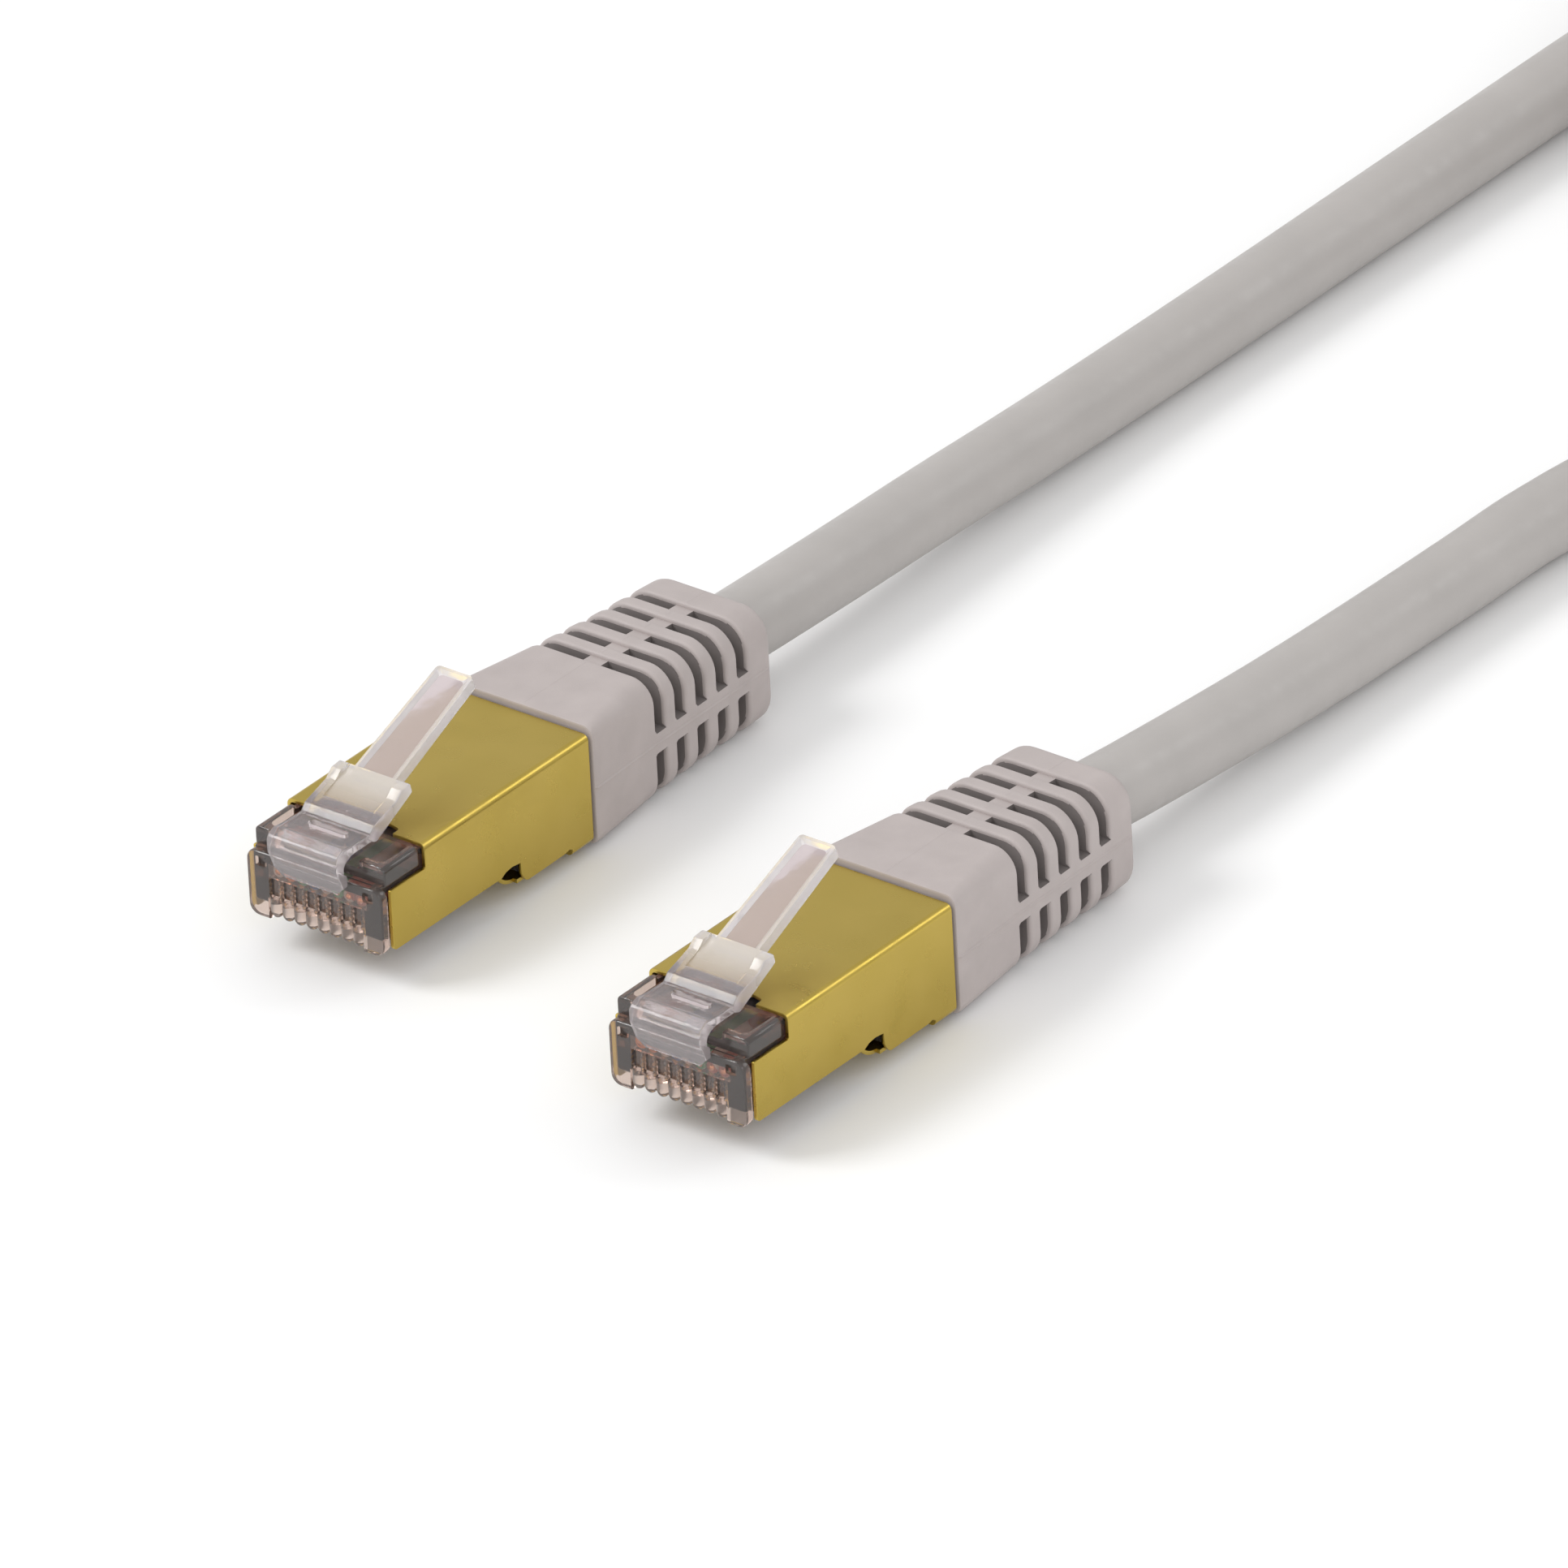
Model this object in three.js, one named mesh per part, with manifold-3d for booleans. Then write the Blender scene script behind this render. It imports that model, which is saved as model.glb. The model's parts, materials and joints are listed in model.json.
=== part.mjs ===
// Shielded ethernet patch cable: two eight-way modular plugs on one round grey cable.
// Millimetres, +Z up. The noses of both plugs point along -Y and the cable leaves along +Y.
// Both plugs stand on the surface z = 0, and the spare cable lies behind them in a round coil.

import * as THREE from 'three';
import { mergeVertices } from 'three/addons/utils/BufferGeometryUtils.js';
import Module from 'manifold-3d';

const wasm = await Module();
wasm.setup();

// ---- Driving dimensions -------------------------------------------------------------------

const WAYS = 8;                  // contacts and conductors in each plug
const PITCH = 1.016;             // between neighbouring contacts
const PLUG_SPACING = 34.9;       // between the two plugs' centre lines
const PLUG_STAGGER = 4.76;       // plug b lies this much further forward
const AXIS_HEIGHT = 4.7;         // the cable's centre line where it leaves a plug

const NOSE_BOTTOM = 2.8;         // underside of the nose, which the deeper boot lifts
const NOSE_HEIGHT = 6.3;
const NOSE_HALF = 5.45;          // half width between the shield's side plates
const BROW_HALF = 5.62;          // half width above the side plates
const BROW_BOTTOM = NOSE_BOTTOM + 4.8;
const FLANGE_HALF = 5.85;
const FLANGE_BOTTOM = NOSE_BOTTOM - 0.2;
const FLANGE_TOP = NOSE_BOTTOM + 4.9;
const FLANGE_DEPTH = 0.75;
const FLANGE_RADIUS = 0.8;
const HOUSING_LENGTH = 21.6;
const BROW_END = 4.5;            // the shield's top plate starts just behind this
const POCKET_FLOOR = NOSE_BOTTOM + 5.5;  // sunken panel in the nose's top, below the latch
const POCKET_FRONT = 1.5;
const POCKET_END = 7.6;
const INNER_HALF = 4.9;          // half width of the sunken panel and of the hollow inside
const WIRE_SLOT_HALF = 4.25;     // slot that the flat row of conductors lies in
const HOLLOW_FRONT = 6;
const HOLLOW_STEP = 15.5;        // behind this the hollow is deeper, for the cable's end
const BUMP_ROW_HALF = 4.1;       // the flange is cut away across the row of rounded ribs
const CHANNEL_HALF = 0.325;
const CHANNEL_END = 5.7;
const RECESS_TOP = NOSE_BOTTOM + 2.7;   // shallow recess above each rounded rib
const BUMP_RADIUS = 0.43;
const BUMP_HEIGHT = 1.5;

const SHEET = 0.3;               // thickness of the metal shield
const SHIELD_HALF = 5.95;
const SHIELD_TOP = NOSE_BOTTOM + 6.5;
const SHIELD_BOTTOM = NOSE_BOTTOM - 1.95;
const SHIELD_STEP = NOSE_BOTTOM - 1.4;  // bottom level between the fold and the small rear notch
const SHIELD_FRONT = 0.95;       // front of the side plates
const SHIELD_TOP_FRONT = 4.75;   // front of the top plate
const SHIELD_REAR = 22.7;
const FOLD_START = 12.7;         // curved opening where the side plate turns under
const FOLD_END = 14.7;
const FOLD_RISE = 0.25;
const NOTCH_END = 20.4;          // the lower edge drops to its lowest level here
const TONGUE_HALF = 3.2;         // half width of the opening in the top plate below the latch
const TONGUE_END = 5.8;

const WIRE_RADIUS = 0.44;
const WIRE_HEIGHT = NOSE_BOTTOM + 3.4;
const WIRE_FRONT = 0.9;
const GUIDE_FRONT = 6.3;
const GUIDE_REAR = 10.2;
const BLADE_THICKNESS = 0.35;

const LATCH_HALF = 3.05;
const PIVOT_Y = -0.6;            // the living hinge that the latch bends about
const PIVOT_Z = NOSE_BOTTOM + 5.35;
const TAIL_SLOPE = THREE.MathUtils.degToRad(21.7);
const TAIL_LENGTH = 10.5;
const TAIL_BASE_HALF = 1.8;
const TAIL_TIP_HALF = 1.55;
const TAIL_START = 6.8;
const TAIL_THICKNESS = 0.6;
const RIM_WIDTH = 0.4;           // raised along both sides of the tail
const RIM_HEIGHT = 0.9;

const BOOT_FRONT = 22.95;
const BOOT_REAR = 43.9;
const SLOTS = 5;
const SLOT_FIRST = 30.95;
const SLOT_PITCH = 2.35;
const SLOT_WIDTH = 0.76;
const SLOT_DEPTH = 1.15;
const BRIDGE_HALF = 0.66;        // what is left between two slots of one ring

const CABLE_DIAMETER = 5.5;
const CABLE_RADIUS = CABLE_DIAMETER / 2;
const CORE_RADIUS = 2.1;
const CORE_FRONT = 19.9;
const JACKET_FRONT = 21.9;
const GAP = 0.3;

const COIL_RADIUS = 31;          // at the middle of the turns
const COIL_TURN = 5.6;           // between neighbouring turns
const COIL_X = 32.4;             // from plug a's centre line
const COIL_Y = 172;              // from plug a's nose
const TIE_WIDTH = 9;
const TIE_THICKNESS = 1.1;
const TIE_CLEARANCE = 0.8;       // room for the coil's curve across the strap's width
const TIE_ANGLE = Math.PI / 2;   // on the far side of the coil

// Both plugs without the cable fill one box, and the origin is the centre of its base.
const HINGE_BULGE = 1.15;        // the latch's root stands this far in front of the nose
const PLUG_A_X = -PLUG_SPACING / 2;
const PLUG_B_X = PLUG_SPACING / 2;
const PLUG_A_Y = (HINGE_BULGE + PLUG_STAGGER - BOOT_REAR) / 2;
const PLUG_B_Y = PLUG_A_Y - PLUG_STAGGER;

// ---- Materials ----------------------------------------------------------------------------

const finish = (color, roughness, metalness = 0, opacity = 1) => new THREE.MeshStandardMaterial({
  color, roughness, metalness, opacity, transparent: opacity < 1,
});
const smokyClear = finish(0x6e625f, 0.15, 0, 0.5);
const clear = finish(0xd2c8c6, 0.15, 0, 0.6);
const goldSheet = finish(0xb39a55, 0.3, 1);
const goldBlade = finish(0xd8a650, 0.25, 1);
const tinnedBraid = finish(0xb9b9b6, 0.45, 1);
const foil = finish(0xc9ccd0, 0.3, 1);
const bootPlastic = finish(0xb9afac, 0.55);
const jacketPlastic = finish(0xb3afac, 0.5);
const strap = finish(0x2b2b2d, 0.9);
const wireColours = [0xf1dccb, 0xe0702a, 0xd6ead6, 0x3a62b8, 0xd5dff2, 0x3c9a5a, 0xdccdbf, 0x7a4a2c];

// ---- Geometry helpers ---------------------------------------------------------------------

const X = new THREE.Vector3(1, 0, 0);
const Y = new THREE.Vector3(0, 1, 0);
const Z = new THREE.Vector3(0, 0, 1);

function toManifold(geometry) {
  const bare = geometry.clone();
  for (const name of Object.keys(bare.attributes)) {
    if (name !== 'position') bare.deleteAttribute(name);
  }
  const merged = mergeVertices(bare, 1e-5);
  return new wasm.Manifold(new wasm.Mesh({
    numProp: 3,
    vertProperties: new Float32Array(merged.attributes.position.array),
    triVerts: new Uint32Array(merged.index.array),
  }));
}

function toGeometry(manifold) {
  const mesh = manifold.getMesh();
  const geometry = new THREE.BufferGeometry();
  geometry.setAttribute('position', new THREE.BufferAttribute(mesh.vertProperties, 3));
  geometry.setIndex(new THREE.BufferAttribute(mesh.triVerts, 1));
  geometry.computeVertexNormals();
  return geometry;
}

const join = (shapes) => shapes.map(toManifold).reduce((all, next) => all.add(next));
const carve = (body, cutters) => cutters.map(toManifold).reduce((left, next) => left.subtract(next), body);

function block(x0, x1, y0, y1, z0, z1) {
  const box = new THREE.BoxGeometry(x1 - x0, y1 - y0, z1 - z0);
  return box.translate((x0 + x1) / 2, (y0 + y1) / 2, (z0 + z1) / 2);
}

// An outline of [y, z] points, carried across from -half to +half in X.
function across(outline, half) {
  const shape = new THREE.Shape(outline.map(([y, z]) => new THREE.Vector2(y, z)));
  const prism = new THREE.ExtrudeGeometry(shape, { depth: 2 * half, bevelEnabled: false });
  prism.applyMatrix4(new THREE.Matrix4().makeBasis(Y, Z, X));
  return prism.translate(-half, 0, 0);
}

// An outline of [x, z] points, carried along Y from y0 to y1.
function along(outline, y0, y1) {
  const shape = new THREE.Shape(outline.map(([x, z]) => new THREE.Vector2(x, z)));
  const prism = new THREE.ExtrudeGeometry(shape, { depth: y1 - y0, bevelEnabled: false });
  prism.applyMatrix4(new THREE.Matrix4().makeBasis(X, Z, Y.clone().negate()));
  return prism.translate(0, y1, 0);
}

function arc(centreX, centreZ, radius, from, to, steps) {
  const points = [];
  for (let i = 0; i <= steps; i += 1) {
    const angle = from + (to - from) * i / steps;
    points.push([centreX + radius * Math.cos(angle), centreZ + radius * Math.sin(angle)]);
  }
  return points;
}

function roundedBox(half, bottom, top, radius, steps) {
  const quarter = Math.PI / 2;
  const x = half - radius;
  return [
    ...arc(x, top - radius, radius, 0, quarter, steps),
    ...arc(-x, top - radius, radius, quarter, 2 * quarter, steps),
    ...arc(-x, bottom + radius, radius, 2 * quarter, 3 * quarter, steps),
    ...arc(x, bottom + radius, radius, 3 * quarter, 4 * quarter, steps),
  ];
}

// Closed skin through equal-sized [x, z] outlines, each at its own y.
function loft(sections) {
  const count = sections[0].outline.length;
  const positions = [];
  const index = [];
  for (const { y, outline } of sections) {
    for (const [x, z] of outline) positions.push(x, y, z);
  }
  for (let ring = 0; ring + 1 < sections.length; ring += 1) {
    for (let i = 0; i < count; i += 1) {
      const a = ring * count + i;
      const b = ring * count + (i + 1) % count;
      index.push(a, a + count, b, b, a + count, b + count);
    }
  }
  const last = (sections.length - 1) * count;
  for (let i = 1; i + 1 < count; i += 1) {
    index.push(0, i, i + 1);
    index.push(last, last + i + 1, last + i);
  }
  const geometry = new THREE.BufferGeometry();
  geometry.setAttribute('position', new THREE.Float32BufferAttribute(positions, 3));
  geometry.setIndex(index);
  geometry.computeVertexNormals();
  return geometry;
}

// A round bar or ring about the cable's centre line, from y0 to y1.
function round(y0, y1, outer, inner, sides) {
  const profile = inner > 0
    ? [[inner, y0], [outer, y0], [outer, y1], [inner, y1], [inner, y0]]
    : [[0, y0], [outer, y0], [outer, y1], [0, y1]];
  const geometry = new THREE.LatheGeometry(profile.map(([r, y]) => new THREE.Vector2(r, y)), sides);
  return geometry.translate(0, 0, AXIS_HEIGHT);
}

// A tube of the given radius through points.
function tube(points, radius, sides, steps) {
  const section = new THREE.Shape(arc(0, 0, radius, 0, 2 * Math.PI * (sides - 1) / sides, sides - 1)
    .map(([x, y]) => new THREE.Vector2(x, y)));
  const extrudePath = new THREE.CatmullRomCurve3(points.map((p) => new THREE.Vector3(...p)));
  return new THREE.ExtrudeGeometry(section, { steps, extrudePath, bevelEnabled: false });
}

function piece(name, shape, material) {
  const mesh = new THREE.Mesh(shape instanceof THREE.BufferGeometry ? shape : toGeometry(shape), material);
  mesh.name = name;
  return mesh;
}

const wayX = (way) => (way - (WAYS - 1) / 2) * PITCH;
const ways = Array.from({ length: WAYS }, (_, way) => way);

// ---- Housing ------------------------------------------------------------------------------

function housing() {
  const noseTop = NOSE_BOTTOM + NOSE_HEIGHT;
  const underShield = SHIELD_TOP - SHEET - 0.2;
  const aboveFloor = SHIELD_STEP + SHEET + 0.2;
  const bumpY = 0.3;
  const bump = new THREE.CylinderGeometry(BUMP_RADIUS, BUMP_RADIUS, BUMP_HEIGHT, 10);
  bump.rotateX(Math.PI / 2);
  const body = join([
    along(roundedBox(FLANGE_HALF, FLANGE_BOTTOM, FLANGE_TOP, FLANGE_RADIUS, 4), 0, FLANGE_DEPTH),
    block(-NOSE_HALF, NOSE_HALF, FLANGE_DEPTH - 0.1, BROW_END, NOSE_BOTTOM, BROW_BOTTOM + 0.1),
    along(roundedBox(BROW_HALF, BROW_BOTTOM, noseTop, 0.35, 3), FLANGE_DEPTH, BROW_END),
    block(-NOSE_HALF, NOSE_HALF, BROW_END - 0.1, HOUSING_LENGTH, NOSE_BOTTOM, underShield),
    block(-NOSE_HALF, NOSE_HALF, FOLD_END + 0.4, HOUSING_LENGTH, aboveFloor, NOSE_BOTTOM + 0.1),
    block(-LATCH_HALF, LATCH_HALF, PIVOT_Y - 0.3, 0.1, NOSE_BOTTOM + 3.9, PIVOT_Z - 0.15),
  ]);
  const channelFront = FLANGE_DEPTH + 0.2;
  const slotBottom = WIRE_HEIGHT - 0.65;
  const slotTop = WIRE_HEIGHT + 0.75;
  const hollowTop = POCKET_FLOOR - 0.8;
  const latchRoom = LATCH_HALF + 0.35;
  const cutters = [
    block(-INNER_HALF, INNER_HALF, POCKET_FRONT, POCKET_END, POCKET_FLOOR, noseTop + 1),
    block(-latchRoom, latchRoom, -1, POCKET_FRONT + 0.2, POCKET_FLOOR, noseTop + 1),
    block(-WIRE_SLOT_HALF, WIRE_SLOT_HALF, WIRE_FRONT - 0.2, HOLLOW_FRONT + 0.1, slotBottom, slotTop),
    block(-INNER_HALF, INNER_HALF, HOLLOW_FRONT, HOLLOW_STEP + 0.1, NOSE_BOTTOM + 0.7, hollowTop),
    block(-INNER_HALF, INNER_HALF, HOLLOW_STEP, HOUSING_LENGTH + 1, SHIELD_STEP + 1.1, hollowTop),
    block(-BUMP_ROW_HALF, BUMP_ROW_HALF, -1, bumpY, NOSE_BOTTOM - 1, NOSE_BOTTOM + BUMP_HEIGHT),
  ];
  for (const way of ways) {
    const x = wayX(way);
    const left = x - CHANNEL_HALF;
    const right = x + CHANNEL_HALF;
    cutters.push(block(left, right, channelFront, CHANNEL_END, NOSE_BOTTOM - 1, slotBottom + 0.1));
    cutters.push(block(x - 0.4, x + 0.4, -1, 0.35, NOSE_BOTTOM + BUMP_HEIGHT - 0.1, RECESS_TOP));
  }
  const bumps = ways.map((way) => bump.clone()
    .translate(wayX(way), bumpY, NOSE_BOTTOM + BUMP_HEIGHT / 2 + 0.02));
  return carve(body, cutters).add(join(bumps));
}

// ---- Latch --------------------------------------------------------------------------------

function latch() {
  const side = [
    [-0.9, 5.5], [-1.15, 6.3], [-1.05, 7.1], [-0.6, 7.5], [0.1, 7.55], [0.9, 7.35],
    [2.6, 7.35], [3.1, 7.85], [5.6, 8.6], [6.2, 9.15], [7.2, 9.25], [7.35, 8.4],
    [6.8, 8.15], [3.1, 6.45], [2.7, 6.75], [0.5, 6.7], [0.1, 6.4], [-0.35, 6.1], [-0.35, 5.5],
  ].map(([y, z]) => [y, z + NOSE_BOTTOM]);
  // A strip of the tapered tail, between two sides given by their half widths at base and tip.
  const strip = (leftBase, leftTip, rightBase, rightTip, thickness) => {
    const shape = new THREE.Shape([
      new THREE.Vector2(leftBase, 0), new THREE.Vector2(rightBase, 0),
      new THREE.Vector2(rightTip, TAIL_LENGTH), new THREE.Vector2(leftTip, TAIL_LENGTH),
    ]);
    const plate = new THREE.ExtrudeGeometry(shape, { depth: thickness, bevelEnabled: false });
    return plate.rotateX(TAIL_SLOPE).translate(0, TAIL_START, NOSE_BOTTOM + 8);
  };
  const base = TAIL_BASE_HALF;
  const tip = TAIL_TIP_HALF;
  const body = join([
    across(side, LATCH_HALF),
    strip(-base, -tip, base, tip, TAIL_THICKNESS),
    strip(base - RIM_WIDTH, tip - RIM_WIDTH, base, tip, RIM_HEIGHT),
    strip(-base, -tip, -base + RIM_WIDTH, -tip + RIM_WIDTH, RIM_HEIGHT),
  ]);
  return carve(body, [
    block(-1.65, 1.65, 1.5, 2.2, NOSE_BOTTOM + 6, NOSE_BOTTOM + 8),
  ]);
}

// ---- Shield -------------------------------------------------------------------------------

function shield() {
  const side = [
    [SHIELD_TOP_FRONT, SHIELD_TOP], [SHIELD_REAR, SHIELD_TOP], [SHIELD_REAR, SHIELD_BOTTOM],
    [NOTCH_END, SHIELD_BOTTOM], [NOTCH_END, SHIELD_STEP], [FOLD_END + 0.25, SHIELD_STEP],
    [FOLD_END, SHIELD_STEP + 0.25], [FOLD_END, NOSE_BOTTOM + FOLD_RISE],
    [FOLD_START + 0.6, NOSE_BOTTOM + FOLD_RISE], [FOLD_START, NOSE_BOTTOM],
    [SHIELD_FRONT + 0.3, NOSE_BOTTOM], [SHIELD_FRONT, NOSE_BOTTOM + 0.3],
    [SHIELD_FRONT, BROW_BOTTOM - 0.15], [SHIELD_TOP_FRONT, BROW_BOTTOM - 0.15],
  ];
  const section = roundedBox(SHIELD_HALF, SHIELD_BOTTOM, SHIELD_TOP, 0.5, 3);
  const sideCut = toManifold(across(side, SHIELD_HALF + 1));
  const outer = toManifold(along(section, 0, SHIELD_REAR)).intersect(sideCut);
  const inside = SHIELD_HALF - SHEET;
  return carve(outer, [
    block(-inside, inside, -1, SHIELD_REAR + 1, SHIELD_STEP + SHEET, SHIELD_TOP - SHEET),
    block(-inside, inside, NOTCH_END, SHIELD_REAR + 1, SHIELD_BOTTOM + SHEET, SHIELD_STEP + SHEET + 0.1),
    block(-TONGUE_HALF, TONGUE_HALF, 0, TONGUE_END, SHIELD_TOP - 1, SHIELD_TOP + 1),
  ]);
}

// ---- Contacts, conductors and their guide ---------------------------------------------------

function contactBlade() {
  const bottom = NOSE_BOTTOM + 0.35;
  const back = NOSE_BOTTOM + 2;
  const tineTop = WIRE_HEIGHT - WIRE_RADIUS - 0.12;
  const tine = (y) => [[y + 0.2, back], [y, tineTop], [y - 0.2, back]];
  return across([
    ...arc(1.8, bottom + 0.7, 0.7, Math.PI, 1.5 * Math.PI, 3),
    [5.3, bottom], [5.45, bottom + 0.15], [5.45, back],
    ...tine(4.7), ...tine(3.4), ...tine(2.1), [1.1, back],
  ], BLADE_THICKNESS / 2);
}

// Flat in the nose, then alternately raised and lowered into two rows that enter the cable.
function conductor(way) {
  const rise = (way % 2 === 0 ? 1 : -1) * 0.55;
  const column = (Math.floor(way / 2) - 1.5) * 1.0;
  const x = wayX(way);
  return tube([
    [x, WIRE_FRONT, WIRE_HEIGHT],
    [x, 5, WIRE_HEIGHT],
    [x, GUIDE_REAR, WIRE_HEIGHT],
    [x, 12.6, WIRE_HEIGHT - 0.3 + rise],
    [(x + column) / 2, 15, (WIRE_HEIGHT + AXIS_HEIGHT) / 2 - 0.2 + rise],
    [column, 17.6, AXIS_HEIGHT + rise],
    [column, CORE_FRONT - GAP, AXIS_HEIGHT + rise],
  ], WIRE_RADIUS, 8, 12);
}

function wireGuide() {
  const bottom = NOSE_BOTTOM + 1;
  const groove = WIRE_HEIGHT - WIRE_RADIUS - 0.2;
  const ridge = WIRE_HEIGHT - 0.25;
  const top = [];
  for (const way of ways) {
    const x = wayX(way);
    top.push([x - PITCH / 2, ridge], [x - 0.25, groove], [x + 0.25, groove]);
  }
  const end = wayX(WAYS - 1) + PITCH / 2;
  const outline = [...top, [end, ridge], [end + 0.5, ridge], [end + 0.5, bottom], [-end - 0.5, bottom],
    [-end - 0.5, ridge]];
  return along(outline.reverse(), GUIDE_FRONT, GUIDE_REAR);
}

// ---- Boot ---------------------------------------------------------------------------------

const BOOT_SECTIONS = [
  { y: BOOT_FRONT, half: 6.12, top: 9.75, bottom: 0.45, radius: 0.8 },
  { y: 30.5, half: 5.6, top: 9.65, bottom: 0.15, radius: 1.9 },
  { y: 40.6, half: 5.3, top: 9.1, bottom: 0, radius: 2.5 },
  { y: 43.2, half: 5.2, top: 8.95, bottom: 0, radius: 2.6 },
  { y: BOOT_REAR, half: 4.8, top: 8.55, bottom: 0.4, radius: 2.3 },
];

function bootSectionAt(y) {
  const next = BOOT_SECTIONS.findIndex((section) => section.y >= y);
  const b = BOOT_SECTIONS[next];
  const a = BOOT_SECTIONS[Math.max(next - 1, 0)];
  const t = a === b ? 0 : (y - a.y) / (b.y - a.y);
  const mix = (key) => a[key] + (b[key] - a[key]) * t;
  return { half: mix('half'), top: mix('top'), bottom: mix('bottom'), radius: mix('radius') };
}

function boot() {
  const outer = loft(BOOT_SECTIONS.map(({ y, half, top, bottom, radius }) => (
    { y, outline: roundedBox(half, bottom, top, radius, 5) })));
  let body = carve(toManifold(outer), [
    round(BOOT_FRONT - 1, BOOT_REAR + 1, CABLE_RADIUS + 0.2, 0, 12),
    round(BOOT_FRONT - 1, 27.3, 3.95, 0, 16),
  ]);
  for (let slot = 0; slot < SLOTS; slot += 1) {
    const y = SLOT_FIRST + slot * SLOT_PITCH;
    const { half, top, bottom, radius } = bootSectionAt(y);
    const innerRadius = radius - SLOT_DEPTH / 2;
    const core = roundedBox(half - SLOT_DEPTH, bottom + SLOT_DEPTH, top - SLOT_DEPTH, innerRadius, 4);
    const middle = (top + bottom) / 2;
    const ring = carve(toManifold(block(-9, 9, y - SLOT_WIDTH / 2, y + SLOT_WIDTH / 2, -3, 12)), [
      along(core, y - 1, y + 1),
      block(-BRIDGE_HALF, BRIDGE_HALF, y - 1, y + 1, -4, 13),
      block(-10, 10, y - 1, y + 1, middle - BRIDGE_HALF, middle + BRIDGE_HALF),
    ]);
    body = body.subtract(ring);
  }
  return body;
}

// ---- One plug, with its origin on the surface below the middle of the nose -------------------

function plug(letter, x, y) {
  const group = new THREE.Group();
  group.add(
    piece(`housing_${letter}`, housing(), smokyClear),
    piece(`latch_${letter}`, latch(), clear),
    piece(`shield_${letter}`, shield(), goldSheet),
    piece(`wire_guide_${letter}`, wireGuide(), clear),
    piece(`boot_${letter}`, boot(), bootPlastic),
    piece(`cable_core_${letter}`, round(CORE_FRONT, JACKET_FRONT - GAP, CORE_RADIUS, 0, 12), foil),
    piece(`jacket_end_${letter}`, round(JACKET_FRONT, BOOT_REAR - 0.2, CABLE_RADIUS, 0, 12), jacketPlastic),
    piece(`braid_${letter}`, round(22.3, 26.3, 3.25, 2.95, 16), tinnedBraid),
    piece(`crimp_ring_${letter}`, round(23.1, 26.8, 3.65, 3.35, 16), goldSheet),
  );
  const blade = contactBlade();
  for (const way of ways) {
    const contact = piece(`contact_${letter}${way + 1}`, blade, goldBlade);
    contact.position.x = wayX(way);
    const wireColour = finish(wireColours[way], 0.45);
    group.add(contact, piece(`conductor_${letter}${way + 1}`, conductor(way), wireColour));
  }
  group.position.set(x, y, 0);
  return group;
}

// ---- Cable --------------------------------------------------------------------------------

// Points of each straight lead, from its boot to the coil, measured from its own plug's origin.
const LEAD_A = [
  [0, 44.2, 4.7], [0, 50, 4.55], [-0.1, 59, 4.25], [-0.45, 69, 3.8], [-0.75, 80, 3.25], [-1, 92, 2.88],
  [-1.1, 105, 2.77], [-1.2, 118, 2.77], [-1.3, 131, 2.77], [-1.4, 142, 2.77], [-1.4, 151.2, 2.77],
];
const LEAD_B = [
  [0, 44.2, 4.7], [0.15, 50, 4.35], [0.25, 58, 3.85], [0.25, 67, 3.35], [0.15, 77, 2.98], [0.1, 87, 2.8],
  [0.15, 95.5, 2.77], [1.2, 103.7, 2.77], [4.2, 111.9, 2.77], [9.2, 119.1, 2.77], [15.7, 125, 2.77],
  [22.2, 130.9, 2.77], [27.2, 138.1, 2.77], [30.3, 146.3, 2.77], [31.3, 155.6, 2.77],
];

function coil() {
  const section = roundedBox(COIL_TURN, 0.01, COIL_TURN + CABLE_DIAMETER, 1.6, 2)
    .map(([r, z]) => new THREE.Vector2(COIL_RADIUS + r, z));
  section.push(section[0].clone());
  return new THREE.LatheGeometry(section, 48).rotateX(Math.PI / 2);
}

// A strap over the coil: across its top and down both sides.
function tie() {
  const inner = COIL_TURN + TIE_CLEARANCE;
  const outer = inner + TIE_THICKNESS;
  const roof = COIL_TURN + CABLE_DIAMETER + GAP;
  const outline = [
    [-outer, 0.02], [-inner, 0.02], [-inner, roof], [inner, roof], [inner, 0.02], [outer, 0.02],
    [outer, roof + TIE_THICKNESS], [-outer, roof + TIE_THICKNESS],
  ].map(([r, z]) => [COIL_RADIUS + r, z]);
  const strip = along(outline, -TIE_WIDTH / 2, TIE_WIDTH / 2);
  return strip.rotateZ(TIE_ANGLE);
}

const cable = new THREE.Group();
const leadA = piece('lead_a', tube(LEAD_A, CABLE_RADIUS, 10, 10), jacketPlastic);
leadA.position.set(PLUG_A_X, PLUG_A_Y, 0);
const leadB = piece('lead_b', tube(LEAD_B, CABLE_RADIUS, 10, 16), jacketPlastic);
leadB.position.set(PLUG_B_X, PLUG_B_Y, 0);
const spare = new THREE.Group();
spare.position.set(PLUG_A_X + COIL_X, PLUG_A_Y + COIL_Y, 0);
spare.add(piece('coil', coil(), jacketPlastic), piece('coil_tie', tie(), strap));
cable.add(leadA, leadB, spare);

// ---- Whole object ---------------------------------------------------------------------------

const patchCable = new THREE.Group();
patchCable.add(plug('a', PLUG_A_X, PLUG_A_Y), plug('b', PLUG_B_X, PLUG_B_Y), cable);

export default patchCable;
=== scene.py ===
"""Shielded ethernet patch cable: the looks, in metres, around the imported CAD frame."""

import itertools
import json
import math

import bmesh
import bpy
from mathutils import Matrix, Vector

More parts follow.
